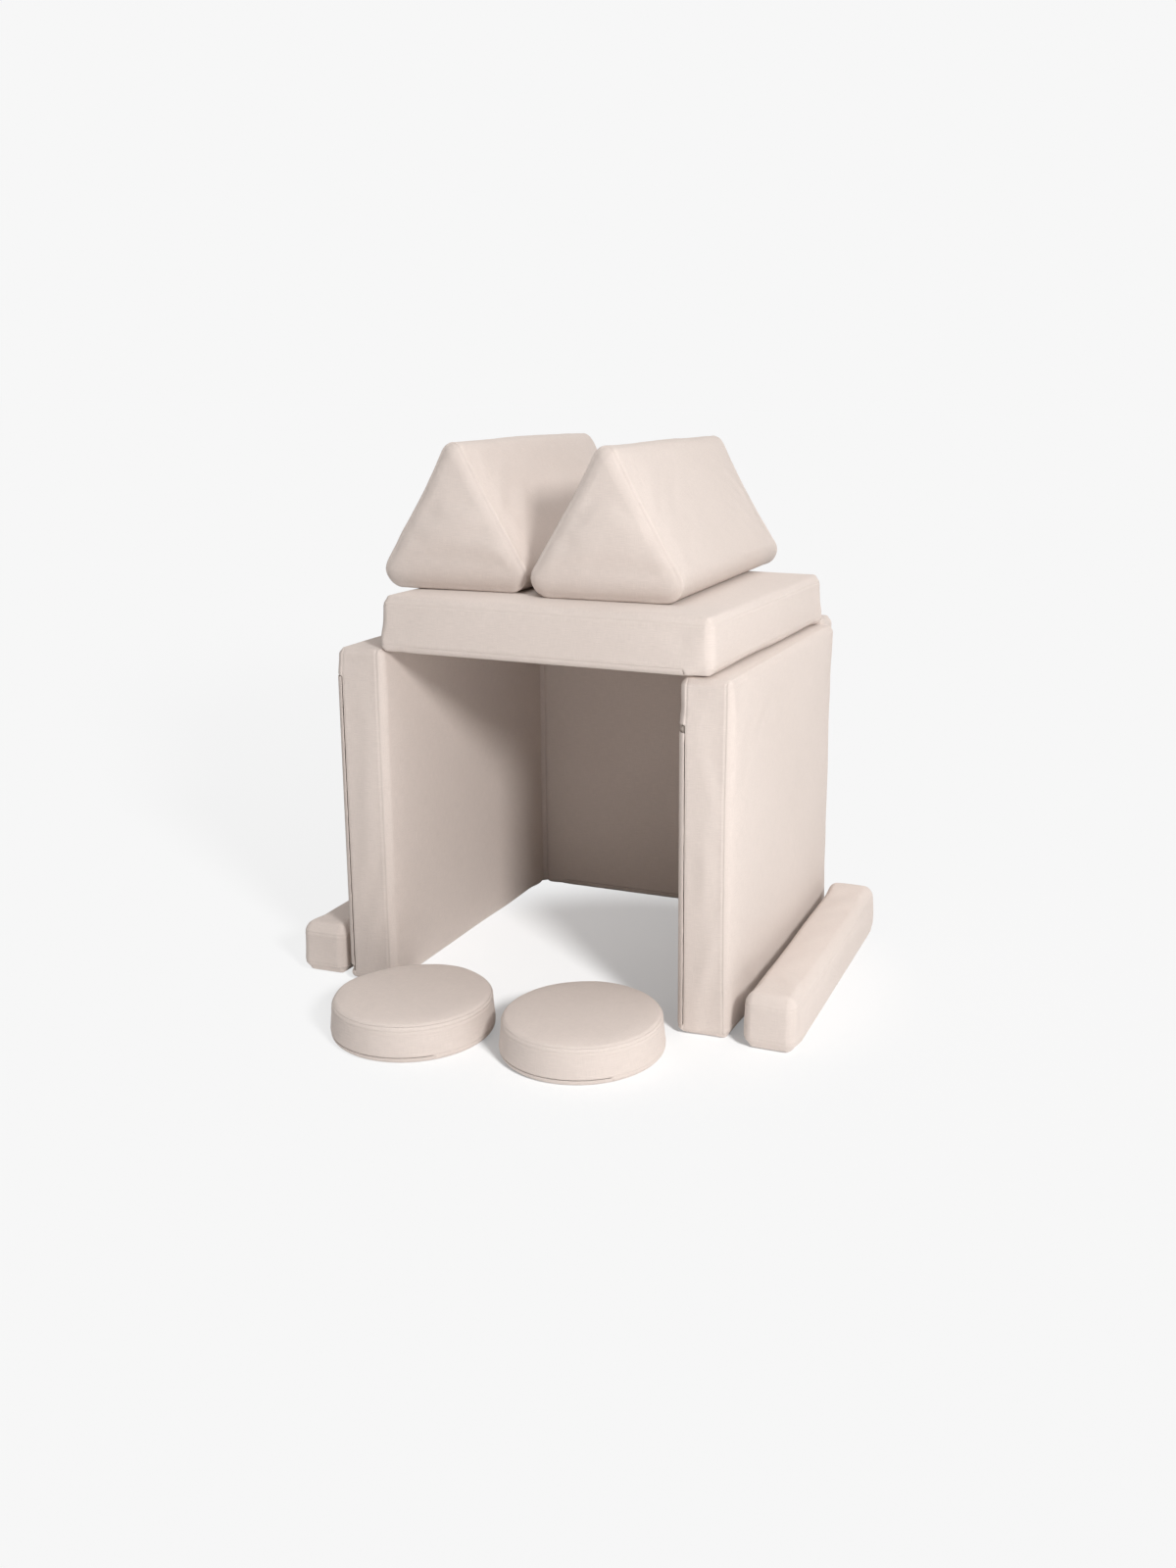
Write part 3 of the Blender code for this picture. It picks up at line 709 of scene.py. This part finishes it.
def round_prism(sharp, edge, length, radius, squeeze):
    """The sharp prism with its corners and end edges rounded. squeeze is the end edges' share of radius."""
    side = edge / 2 - radius * math.sqrt(3)
    inner = [np.array((-side, radius)), np.array((side, radius)), triangle(edge)[2] - (0.0, 2 * radius)]
    flat = closest_in_triangle(sharp[:, [0, 2]], inner)
    end = length / 2 - radius * squeeze
    c = np.column_stack([flat[:, 0], np.clip(sharp[:, 1], -end, end), flat[:, 1]])
    n = unit((sharp - c) * np.array([1, 1 / squeeze, 1]))
    return c + n * radius * np.array([1, squeeze, 1]), unit(n * np.array([1, 1 / squeeze, 1]))


def prism_shape(p, n, edge, length, crown, draw, end_rise):
    """How a prism's three sides swell and pull in, and how its ends rise in their middle."""
    shape = np.zeros_like(p)
    y = np.clip(p[:, 1] / (length / 2), -1, 1)
    slope = np.array((math.cos(math.pi / 6), 0.5))
    corners = triangle(edge)
    for i, normal in enumerate(((0.0, -1.0), slope, slope * (-1, 1))):
        facing = np.clip(n[:, 0] * normal[0] + n[:, 2] * normal[1], 0, 1) ** 4
        a, b = corners[i], corners[(i + 1) % 3]
        t = np.clip(((p[:, [0, 2]] - a) @ (b - a)) / ((b - a) @ (b - a)), 0, 1)
        swell = crown[i] * (1 - np.abs(2 * t - 1) ** 4) * (1 - y ** 4)
        amount = (swell - draw[i] * (1 - y * y)) * facing
        shape[:, 0] += normal[0] * amount
        shape[:, 2] += normal[1] * amount
    reach = np.linalg.norm(p[:, [0, 2]] - corners[2] / 3, axis=1) / (edge * 0.40)
    rise = end_rise * np.clip(1 - reach ** 2, 0, 1)
    shape[:, 1] += np.sign(p[:, 1]) * rise * np.clip(np.abs(n[:, 1]), 0, 1) ** 2
    return shape


def prism(name, place, edge, length, radius, soft, crown, draw, end_rise, zip_span):
    """A triangular cushion. Its bottom corners are rounded by soft away from the zip, its top one by APEX."""
    tangent = edge / 2 - radius * math.tan(math.pi / 3)
    ts = lines(edge, soft, SPACING, [tangent, -tangent, tangent + PRISM_CUT, -tangent - PRISM_CUT, 0.0], 60)
    seam_y = length / 2 - PRISM_SEAM_IN
    rows = [side * (seam_y + row) for side in (-1, 1) for row in PRISM_ROWS]
    ys = lines(length, PRISM_END, SPACING, rows + zip_lines(zip_span, PRISM_CUT))
    g = prism_grid(edge, ts, ys)
    sharp = g.array()
    centre = np.array([edge / 2 - radius * math.sqrt(3), radius])
    zipped = near_zip(sharp, centre, radius, zip_span)
    soft_form = round_prism(sharp, edge, length, soft, 0.32)
    tight_form = round_prism(sharp, edge, length, radius, 0.50)
    top_form = round_prism(sharp, edge, length, APEX, 0.60)
    p, n = blended(blended(soft_form, tight_form, zipped), top_form, ramp(sharp[:, 2], 0.10, 0.22))
    p[:, 2] += (APEX - radius) * ramp(p[:, 2], 0.19, 0.285)
    p = p + prism_shape(p, n, edge, length, crown, draw, end_rise)
    made = Cushion(name, place, g, p, n, from_seams(sharp, 1, seam_y))
    flat = np.maximum(ramp(-n[:, 2], 0.8, 0.97), 1 - ramp(sharp[:, 2], 0.02, 0.07))
    settle(made, np.maximum(zipped, flat))
    ridge = 0.0013 * bump_line(made.seam, 0.0040) * (1 + 0.45 * soft_wave(sharp, 170.0, made.seed))
    made.push(ridge - 0.0006 * bump_line(made.seam - 0.0065, 0.0022))
    made.p = recess(made.p, radius, centre, zip_span, PRISM_CUT, -math.pi / 6, math.pi / 3)
    made.path = Path(place, centre, -math.pi / 6, math.pi / 3, radius, *zip_span)
    return made


DISC_ROWS = (-0.0065, *SEAM_ROWS[1:-1])
DISC_SEAM_PAST_EDGE = 0.0005
DISC_LEVELS = 0.006
DISC_RINGS = 0.008
DISC_TURNS = 192
DISC_SWELL = 0.0012


def disc(name, place, radius, height, edge, crown, zip_turn):
    """A round cushion, with a seam above and below its side and a zip in its lower edge."""
    seam_z = height / 2 - (edge + DISC_SEAM_PAST_EDGE)
    rows = [side * seam_z + row for side in (-1, 1) for row in DISC_ROWS] + [edge - height / 2 - CUT]
    zs = lines(height, edge, DISC_LEVELS, sorted(set(np.round(rows, 6))))
    reach = lines(2 * radius, edge, DISC_RINGS, [radius - edge, radius - edge + CUT])
    rings = [r for r in reversed(reach) if r > DISC_RINGS / 2] + [0.0]
    g = disc_grid(radius, rings, zs, DISC_TURNS)
    sharp = g.array()
    away = np.linalg.norm(sharp[:, :2], axis=1)
    inward = np.minimum(1, (radius - edge) / np.maximum(away, 1e-9))
    level = np.clip(sharp[:, 2], edge - height / 2, height / 2 - edge)
    p, n = rounded(sharp, np.column_stack([sharp[:, 0] * inward, sharp[:, 1] * inward, level]), edge)
    seam = np.where(away > radius - edge * 0.8, from_seams(sharp, 2, seam_z), 1.0)
    share = np.clip(np.linalg.norm(p[:, :2], axis=1) / radius, 0, 1)
    p[:, 2] += np.where(p[:, 2] > height / 2 - edge, crown * (1 - share ** 2), 0)
    swell = DISC_SWELL * np.clip(1 - (p[:, 2] / (height / 2)) ** 2, 0, 1)
    side = np.clip(np.linalg.norm(n[:, :2], axis=1), 0, 1) ** 2
    p[:, :2] += n[:, :2] * (swell * side)[:, None]
    made = Cushion(name, place, g, p, n, seam)
    settle(made, 1 - ramp(sharp[:, 2] + height / 2, 0.012, 0.030))
    turn = np.arctan2(sharp[:, 1], sharp[:, 0]) % math.tau
    made.push(seam_relief(seam, turn * radius, made.seed, 0.0020))
    facing = -math.pi / 4
    outward = np.linalg.norm(made.p[:, :2], axis=1) - (radius - edge)
    o = np.column_stack([outward, made.p[:, 2] + height / 2 - edge])
    over = past_flat(o, edge, facing, math.pi / 4)
    over = over * ((turn > zip_turn[0] + 1e-6) & (turn < zip_turn[1] - 1e-6))
    radial = np.column_stack([np.cos(turn), np.sin(turn)])
    made.p[:, :2] -= radial * (over * math.cos(facing))[:, None]
    made.p[:, 2] -= over * math.sin(facing)
    made.p[:, 2] += height / 2
    made.path = Path(place, (radius - edge, edge), facing, math.pi / 4, edge, *zip_turn, turn_radius=radius)
    return made


# Zips, lips, sliders and the hinge cloth

class Path:
    """The zip of one block, seen from its arc's centre: across it, out from it, and a distance along it."""

    def __init__(self, place, centre, facing, half_sweep, radius, start, stop, turn_radius=None):
        self.place, self.centre, self.facing, self.half_sweep = place, np.array(centre), facing, half_sweep
        self.radius, self.start, self.stop, self.turn_radius = radius, start, stop, turn_radius
        reach = radius - COVER_AND_GAP
        self.half_width = reach * math.sin(half_sweep)
        self.height = reach * math.cos(half_sweep)
        self.length = stop - start if turn_radius is None else (stop - start) * turn_radius

    def at(self, across, out, along):
        """Points in the block's frame. The three may be arrays of one shape."""
        a = self.facing + math.pi / 2
        x = self.centre[0] + math.cos(a) * across + math.cos(self.facing) * out
        z = self.centre[1] + math.sin(a) * across + math.sin(self.facing) * out
        if self.turn_radius is None:
            return np.stack(np.broadcast_arrays(x, self.start + along, z), -1)
        turn = self.start + np.asarray(along) / self.turn_radius
        return np.stack(np.broadcast_arrays(x * np.cos(turn), x * np.sin(turn), z), -1)

    def round(self, angle, radius, along):
        """A point at an angle from the middle of the zip, and a distance from the arc's centre."""
        return self.at(radius * np.sin(angle), radius * np.cos(angle), along)


def raw_object(name, place, points, faces, uvs, material, smooth=True):
    mesh = panel_mesh(name, points, faces, uvs)
    if smooth:
        mesh.shade_smooth()
    mesh.materials.append(material)
    tidy = bmesh.new()
    tidy.from_mesh(mesh)
    bmesh.ops.recalc_face_normals(tidy, faces=tidy.faces)
    tidy.to_mesh(mesh)
    tidy.free()
    return linked(name, mesh, place)


def tube(sections, panel):
    """Joins closed sections of equal count into a capped tube. sections: stations by points by 3."""
    stations, count = sections.shape[:2]
    points = sections.reshape(-1, 3)
    faces, uvs = [], []
    for i in range(stations - 1):
        for j in range(count):
            k = (j + 1) % count
            faces.append([i * count + j, i * count + k, (i + 1) * count + k, (i + 1) * count + j])
            uvs.append([panel(i, j), panel(i, j + 1), panel(i + 1, j + 1), panel(i + 1, j)])
    for i, order in ((0, range(count - 1, -1, -1)), (stations - 1, range(count))):
        faces.append([i * count + j for j in order])
        uvs.append([(0.0, 0.0)] * count)
    return points, faces, uvs


TAPE_THICK = 0.0008
TAPE_END = 0.004
COIL_PITCH = 0.0016
COIL_SHIFT = 0.00035
COIL_LEAN = 0.09
COIL_TURN = (
    (-0.0023, 0.0, 0.0005), (-0.0019, 0.00085, 0.00052), (0.0, 0.00105, 0.0005), (0.0019, 0.00085, 0.00052),
    (0.0023, 0.0, 0.0005))
COIL_FACES = [(2 * k, 2 * k + 1, 2 * k + 3, 2 * k + 2) for k in range(4)]
COIL_FACES += [(8, 6, 4, 2, 0), (1, 3, 5, 7, 9), (8, 9, 1, 0)]


def zip_chain(name, path):
    """Tape with a coil chain down its middle, in one piece with two materials.

    COIL_TURN is one turn of the coil from foot to foot: across, out and half its thickness.
    """
    count = max(8, int(path.length / 0.01))
    along = np.linspace(-TAPE_END, path.length + TAPE_END, count)
    w, h = path.half_width - 0.0002, path.height
    rim = h - 0.0001
    outline = [(-w, h - TAPE_THICK), (w, h - TAPE_THICK), (w, rim), (0.0025, h), (-0.0025, h), (-w, rim)]
    sections = np.stack([path.at(a, o, along) for a, o in outline], 1)
    tape, faces, uvs = tube(sections, lambda i, j: (along[min(i, count - 1)], outline[j % 6][0]))
    points = [tape]
    tape_faces = len(faces)
    for i in range(int(path.length / COIL_PITCH)):
        s = (i + 0.5) * COIL_PITCH
        way = 1 if i % 2 else -1
        points.append(np.array([
            path.at(a + way * COIL_SHIFT, h + o, s + side * half * 0.9 + way * COIL_LEAN * a)
            for a, o, half in COIL_TURN for side in (-1, 1)]))
        first = len(tape) + i * 2 * len(COIL_TURN)
        for loop in COIL_FACES:
            faces.append([first + k for k in loop])
            uvs.append([(0.0, 0.0)] * len(loop))
    made = raw_object(name, path.place, np.concatenate(points), faces, uvs, TAPE, smooth=False)
    made.data.materials.append(CHAIN)
    made.data.polygons.foreach_set("material_index", [int(i >= tape_faces) for i in range(len(faces))])
    return made


LIP_STEPS = 9
LIP_THICK = 0.0013
LIP_WAVE = 0.0006
LIP_END = 0.0004
LIP_CLEAR = 0.0012


def zip_lip(name, path, window, proud, at_start, seed):
    """The lip of cover cloth over the zip: sewn along one tangent, rolled hem at the free edge, wavy."""
    near, far = (window, path.length - LIP_END) if at_start else (LIP_END, path.length - window)
    count = max(24, int((far - near) / 0.004))
    along = np.linspace(near, far, count)
    outer = path.radius + proud
    sewn = path.half_sweep - 0.0003 / outer
    free = LIP_CLEAR / outer - path.half_sweep
    ripple = ripples(along, (71.0, 133.0, 217.0, 29.0), seed)
    wave = ripple * LIP_WAVE / outer
    top, under = [], []
    for i in range(LIP_STEPS + 1):
        share = i / LIP_STEPS
        angle = sewn + (free - sewn) * share + share ** 2 * wave
        hem = 0.00025 * math.exp(-((1 - share) / 0.22) ** 2)
        lift = 0.00018 * share * ripple + hem - 0.00030 * math.exp(-((share - 0.62) / 0.10) ** 2)
        top.append(path.round(angle, outer + lift, along))
        under.append(path.round(angle, outer - LIP_THICK, along))
    edge = path.round(free + wave - 0.0004 / outer, outer - LIP_THICK / 2, along)
    outline = top + [edge] + under[::-1]
    sections = np.stack(outline, 1)
    if not proud:
        sections[:, :, 2] = np.maximum(sections[:, :, 2], 0.0)
    size = len(outline)
    points, faces, uvs = tube(sections, lambda i, j: (along[min(i, count - 1)], (j % size) * 0.0022))
    made = raw_object(name, path.place, points, faces, uvs, PIPING)
    made.data.set_sharp_from_angle(angle=math.radians(70))
    return made


def skin(shape, rings):
    """Faces between closed rings of vertices, with a cap at both ends."""
    count = len(rings[0])
    for near, far in zip(rings, rings[1:]):
        for j in range(count):
            k = (j + 1) % count
            shape.faces.new((near[j], near[k], far[k], far[j]))
    shape.faces.new(rings[0][::-1])
    shape.faces.new(rings[-1])


SLIDER_LONG = 0.012
SLIDER_WIDE = 0.0074
SLIDER_NOSE = 0.0066
SLIDER_CLEAR = 0.0003
CHANNEL = 0.0028
CHANNEL_TOP = 0.0013
PLATE_SIDE = 0.0017
PLATE_SLANT = 0.0006
PLATE_RIM = 0.0021
PLATE_TOP = 0.00225
ARCH_STEPS = 8


def slider_piece(name, path, parked):
    """A zip slider without a pull: two plates' edges, a nose that narrows and a low bridge on top."""
    h = path.height
    shape = bmesh.new()
    rings = []
    for share, width in (
            (-0.5, SLIDER_NOSE * 0.91), (-0.42, SLIDER_NOSE), (-0.17, SLIDER_WIDE * 0.97), (0.0, SLIDER_WIDE),
            (0.34, SLIDER_WIDE), (0.46, SLIDER_WIDE * 0.93), (0.5, SLIDER_WIDE * 0.80)):
        half = width / 2
        rim = half - PLATE_SLANT
        top = 0.6 * half - PLATE_SLANT
        outline = [
            (-half, SLIDER_CLEAR), (-CHANNEL, SLIDER_CLEAR), (-CHANNEL, CHANNEL_TOP), (CHANNEL, CHANNEL_TOP),
            (CHANNEL, SLIDER_CLEAR), (half, SLIDER_CLEAR), (half, PLATE_SIDE), (rim, PLATE_RIM),
            (top, PLATE_TOP), (-top, PLATE_TOP), (-rim, PLATE_RIM), (-half, PLATE_SIDE)]
        rings.append([shape.verts.new(path.at(a, h + o, parked + share * SLIDER_LONG)) for a, o in outline])
    skin(shape, rings)
    arch = []
    for i in range(ARCH_STEPS + 1):
        share = i / ARCH_STEPS
        top = PLATE_RIM + 0.0001 + 0.0009 * math.sin(math.pi * share) ** 0.6
        s = parked + (-0.30 + 0.60 * share) * SLIDER_LONG
        outline = [(-0.0009, PLATE_RIM), (0.0009, PLATE_RIM), (0.0008, top), (-0.0008, top)]
        arch.append([shape.verts.new(path.at(a, h + o, s)) for a, o in outline])
    skin(shape, arch)
    bmesh.ops.recalc_face_normals(shape, faces=shape.faces)
    mesh = bpy.data.meshes.new(name)
    shape.to_mesh(mesh)
    shape.free()
    mesh.shade_smooth()
    mesh.set_sharp_from_angle(angle=math.radians(40))
    mesh.materials.append(METAL)
    made = linked(name, mesh, path.place)
    round_off = made.modifiers.new("round", "BEVEL")
    round_off.width = 0.00018
    round_off.segments = 2
    round_off.limit_method = "ANGLE"
    return made


# The set


def placed(location, turn=0.0, upright=False):
    euler = Euler((math.pi / 2, 0.0, math.pi) if upright else (0.0, 0.0, turn))
    return Matrix.LocRotScale(Vector(location), euler, None)


SQUARE = 0.700
WALL_THICK = 0.1085
MAT_TALL = 0.7055
ROOF_SIZE = (SQUARE, SQUARE, 0.1115)
BAR_SIZE = (0.110, SQUARE, 0.109)
R_SQUARE, R_BAR, R_PRISM = 0.014, 0.020, 0.0232
SQUARE_ZIP = (-0.29, 0.29)
LIP_PROUD = 0.0008
WALL_SEAMS = (0, 0.0152)
BAR_SEAMS = (2, 0.0205)
NONE = (0, 0, 0, 0, 0, 0)
DRAWN = (0.0025, 0, 0, 0, 0, 0)
WALL_CROWNS = (0.004, 0.004, 0, 0, 0, 0)
WALL_RESTS = (0, 0, 0, 1, 1, 1)
BAR_CROWNS = (0.002, 0.002, 0, 0.002, 0.002, 0.002)
BAR_DRAWS = (0.002, 0, 0, 0.002, 0, 0)
BAR_RESTS = (0, 0, 1, 0, 0, 0)
WALL_Y = 0.102766
BAR_X = 0.4916
ROOF_EDGE = ((1, -1), (2, -1))

# Name, place, size, base, zip's radius, softer radius, seams, crowns, draws, rests, zip's span, crisp
# edges and pressed edge, then whether the slider parks at the start and how proud the lip stands
BOXES = (
    ("right_wall", placed((0.36375, WALL_Y, 0.35), upright=True), (WALL_THICK, SQUARE, SQUARE), -0.35,
     R_SQUARE, 0.018, WALL_SEAMS, WALL_CROWNS, (0.0025, 0, 0, 0.004, 0, 0), WALL_RESTS, (-0.33, 0.259),
     (), None, False, LIP_PROUD),
    ("left_wall", placed((-0.36445, WALL_Y, 0.35275), upright=True), (WALL_THICK, MAT_TALL, SQUARE), -0.35,
     R_SQUARE, 0.017, WALL_SEAMS, WALL_CROWNS, NONE, WALL_RESTS, (-0.33275, 0.29275),
     (((0, -1), (2, 1)), ((0, -1), (1, 1))), None, True, LIP_PROUD),
    ("back_wall", placed((0.0401, 0.507316, 0.0), -math.pi / 2), (WALL_THICK, SQUARE, MAT_TALL), 0.0,
     R_SQUARE, 0.020, WALL_SEAMS, (0.003, 0, 0, 0, 0, 0), DRAWN, (0, 1, 1, 1, 1, 0), SQUARE_ZIP,
     (((0, 1), (1, -1)), ((0, 1), (2, 1))), None, False, 0.0),
    ("roof", placed((0.0361, 0.101266, 0.7003), math.radians(-90.87)), ROOF_SIZE, 0.0,
     R_SQUARE, 0.021, (2, 0.0155), (0, 0, 0, 0.003, 0, 0), DRAWN, (0, 0, 1, 1, 0, 0), SQUARE_ZIP,
     (ROOF_EDGE, ((0, -1), (2, -1))), (ROOF_EDGE, 0.0068, 0.0004), False, 0.0),
    ("left_bar", placed((-BAR_X, 0.102566, 0.0), math.radians(181.2)), BAR_SIZE, 0.0,
     R_BAR, 0.024, BAR_SEAMS, BAR_CROWNS, BAR_DRAWS, BAR_RESTS, SQUARE_ZIP, (), None, True, 0.0),
    ("right_bar", placed((BAR_X, 0.080966, 0.0), math.radians(1.2)), BAR_SIZE, 0.0,
     R_BAR, 0.024, BAR_SEAMS, BAR_CROWNS, BAR_DRAWS, BAR_RESTS, SQUARE_ZIP, (), None, False, 0.0),
)
BLOCKS = []
for name, *form, at_start, proud in BOXES:
    BLOCKS.append((block(f"{name}_cushion", *form), at_start, proud))

# Side, length, zip's radius, softer radius, crowns, draws, end rise and zip's span
PRISM_FORM = (0.3655, SQUARE, R_PRISM, 0.038, (0, 0.003, 0.003), (0, 0, 0.002), 0.003, SQUARE_ZIP)
for name, x, y in (("left_prism", -0.2202, 0.206766), ("right_prism", 0.1148, 0.184366)):
    at = placed((x, y, 0.8151), math.radians(182.3))
    BLOCKS.append((prism(f"{name}_cushion", at, *PRISM_FORM), True, 0.0))

# Radius, height, edge's radius, crown and the turn that the zip spans
DISC_FORM = (0.155, 0.0755, 0.012, 0.003, (math.pi, math.pi * 1.75))
for name, x, y in (("left_disc", -0.170091, -0.406407), ("right_disc", 0.1697, -0.370334)):
    BLOCKS.append((disc(f"{name}_cushion", placed((x, y, 0.0)), *DISC_FORM), True, 0.0))

LIP_WINDOW = 0.0145
LIP_GAP = 0.0006
PARKED = 0.009

for cushion, at_start, proud in BLOCKS:
    path = cushion.path
    name = cushion.name.removesuffix("_cushion")
    padding = cushion.object()
    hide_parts(f"{name}_cover", f"{name}_foam_core")
    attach(padding, name)
    chain = zip_chain(f"{name}_zip_chain", path)
    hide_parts(f"{name}_zip")
    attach(chain, name)
    lip = zip_lip(f"{name}_zip_lip", path, LIP_WINDOW if proud else LIP_GAP, proud, at_start, cushion.seed)
    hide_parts(f"{name}_zip_flap")
    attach(lip, name)
    parked = PARKED if at_start else path.length - PARKED
    slider = slider_piece(f"{name}_slider_body", path, parked)
    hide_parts(f"{name}_zip_slider")
    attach(slider, f"{name}_zip_slider")


FOLD = np.array([-0.31005, 0.452916])
HINGE_LOW, HINGE_HIGH = 0.006, 0.6985
HINGE_ROWS = 90
HINGE_STEPS = (0.0012, 0.0028, 0.0052, 0.0078, 0.0105)
HINGE_ACROSS = np.array([-step for step in HINGE_STEPS[::-1]] + [0.0] + list(HINGE_STEPS))
BLEND_REACH = 0.004


def hinge_cloth():
    """The strip that joins the mat's two halves: sewn into both inner corners, with its fold between them."""
    way = np.array([1.0, 1.0]) / math.sqrt(2)
    side = np.array([-way[1], way[0]])
    levels = np.linspace(HINGE_LOW, HINGE_HIGH, HINGE_ROWS)
    ripple = 0.00018 * np.sin(levels * 140.0) + 0.00012 * np.sin(levels * 57.0)
    sections = []
    for sign in (1, -1):
        for a in HINGE_ACROSS[::sign]:
            waist = 0.00045 + 0.00022 * min(1.0, abs(a) / 0.004)
            x, y = FOLD + way * a + side * sign * waist
            sections.append(np.column_stack([x + side[0] * ripple, y + side[1] * ripple, levels]))
    around = len(sections)
    sections = np.stack(sections, 1)
    points, faces, uvs = tube(sections, lambda i, j: (levels[min(i, HINGE_ROWS - 1)], (j % around) * 0.0020))
    strip = raw_object("fold_hinge_cloth", Matrix.Identity(4), points, faces, uvs, PIPING)
    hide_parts("fold_hinge_left_leaf", "fold_hinge_back_leaf")
    near, far = FOLD - BLEND_REACH, FOLD + BLEND_REACH
    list(near)
    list(far)
    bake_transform(strip)


hinge_cloth()


# Camera, light and floor

def set_camera():
    data = bpy.data.cameras.new("photo_camera")
    camera = linked("photo_camera", data)
    yaw, pitch, roll = math.radians(-19.894), math.radians(12.671), math.radians(-0.508)
    ahead = Vector((math.sin(yaw) * math.cos(pitch), math.cos(yaw) * math.cos(pitch), -math.sin(pitch)))
    level = Vector((math.cos(yaw), -math.sin(yaw), 0.0))
    below = ahead.cross(level)
    c, s = math.cos(roll), math.sin(roll)
    right, down = level * c + below * s, below * c - level * s
    turn = Matrix((right, -down, -ahead)).transposed().to_quaternion()
    camera.matrix_world = Matrix.LocRotScale(Vector((1.2278, -2.663734, 1.2077)), turn, None)
    data.lens = 33.312
    data.sensor_width = 36.0
    data.shift_x, data.shift_y = -0.07156, -0.04358
    data.clip_end = 200.0
    bpy.context.scene.camera = camera


LAMP = Vector((3.97, -3.42, 2.83))
LAMP_AIM = (Vector((0.0, 0.0, 0.45)) - LAMP).normalized()
LAMP_WATTS = 191.0
FLOOR_LAMP_WATTS = 500.0
ABOVE = 1.45
AROUND = 0.31
WHITE = 0.930
SUN_SPREAD = math.radians(75)
SUN_WAY = Vector((-0.22, -0.15, -0.95))
SOFTBOX_SIZE = 0.95
FLOOR_MIDDLE = (0.12, -0.05, 0.0)
FADE_START = 0.42
FADE_END = 0.66
FLOOR_SHADE = 0.48
FLOOR_SHADE_FAR = 0.08
FLOOR_BOUNCE = 0.65
FLOOR_REACH = 80
FLOOR_LEVEL = -0.0009


def seen_by_eye(n):
    """1 for a ray that shows the background: straight from the camera, mirrored or through glass."""
    rays = n.add("ShaderNodeLightPath").outputs
    mirrored = n.math("MAXIMUM", rays["Is Camera Ray"], rays["Is Glossy Ray"])
    return n.math("MAXIMUM", mirrored, rays["Is Transmission Ray"])


def plain_floor():
    """A plain pale studio floor. Its colour evens out the lamp's fall-off, and it keeps the shadows."""
    n = Nodes("studio_floor")
    n.tree.nodes.remove(n.shader)
    here = n.add("ShaderNodeNewGeometry").outputs["Position"]
    ray = n.vector("SUBTRACT", here, tuple(LAMP))["Vector"]
    far = n.vector("LENGTH", ray)["Value"]
    ahead = n.vector("DOT_PRODUCT", ray, tuple(LAMP_AIM))["Value"]
    strength = (LAMP_WATTS + FLOOR_LAMP_WATTS) / math.pi ** 2 * LAMP.z
    lit = n.math("DIVIDE", n.times(n.math("MAXIMUM", ahead, 0.0), strength), n.math("POWER", far, 4.0))
    lit = n.plus(lit, AROUND)
    away = n.vector("DISTANCE", here, FLOOR_MIDDLE)["Value"]
    steps = {0: away, 1: FADE_START, 2: FADE_END, 3: FLOOR_SHADE, 4: FLOOR_SHADE_FAR}
    fade = n.add("ShaderNodeMapRange", steps, interpolation_type="SMOOTHSTEP").outputs[0]
    shade = n.math("MINIMUM", n.math("DIVIDE", WHITE, lit), fade)
    rest = n.math("MAXIMUM", n.math("SUBTRACT", WHITE, n.times(shade, lit)), 0.0)
    tone = n.add("ShaderNodeCombineColor", {0: shade, 1: shade, 2: shade}).outputs[0]
    shown = n.add("ShaderNodeBsdfDiffuse", {"Color": tone}).outputs[0]
    glow = n.add("ShaderNodeEmission", {"Strength": rest}).outputs[0]
    both = n.add("ShaderNodeAddShader", {0: shown, 1: glow}).outputs[0]
    plain = n.add("ShaderNodeBsdfDiffuse", {"Color": opaque(grey(FLOOR_BOUNCE))}).outputs[0]
    mix = n.add("ShaderNodeMixShader", {0: seen_by_eye(n), 1: plain, 2: both})
    n.fill(n.tree.nodes["Material Output"], {"Surface": mix.outputs[0]})
    ways = ((-1, -1), (1, -1), (1, 1), (-1, 1))
    corners = [(x * FLOOR_REACH, y * FLOOR_REACH, FLOOR_LEVEL) for x, y in ways]
    mesh = mesh_of("studio_floor", corners, [(0, 1, 2, 3)])
    mesh.materials.append(n.owner)
    floor = linked("studio_floor", mesh)
    return floor


def studio_light(floor):
    n = Nodes("studio", world=True)
    bpy.context.scene.world = n.owner
    n.tree.nodes.clear()
    seen = n.add("ShaderNodeBackground", {"Color": opaque(grey(WHITE))}).outputs[0]
    fill = n.add("ShaderNodeBackground", {"Color": opaque(grey(AROUND))}).outputs[0]
    mix = n.add("ShaderNodeMixShader", {0: seen_by_eye(n), 1: fill, 2: seen})
    n.add("ShaderNodeOutputWorld", {"Surface": mix.outputs[0]})
    softbox("softbox", LAMP_WATTS)
    only_floor = bpy.data.collections.new("only_floor")
    only_floor.objects.link(floor)
    softbox("floor_softbox", FLOOR_LAMP_WATTS).light_linking.receiver_collection = only_floor
    sun = bpy.data.lights.new("overhead", "SUN")
    sun.energy = ABOVE
    sun.angle = SUN_SPREAD
    overhead = linked("overhead", sun)
    overhead.rotation_euler = SUN_WAY.to_track_quat("-Z", "Y").to_euler()
    all_but_floor = bpy.data.collections.new("all_but_floor")
    all_but_floor.objects.link(floor)
    all_but_floor.collection_objects[0].light_linking.link_state = "EXCLUDE"
    overhead.light_linking.receiver_collection = all_but_floor


def softbox(name, watts):
    box = bpy.data.lights.new(name, "AREA")
    box.shape = "DISK"
    box.size = SOFTBOX_SIZE
    box.energy = watts
    made = linked(name, box)
    made.location = LAMP
    made.rotation_euler = LAMP_AIM.to_track_quat("-Z", "Y").to_euler()
    return made


set_camera()
studio_light(plain_floor())
bpy.context.scene.view_settings.view_transform = "Standard"
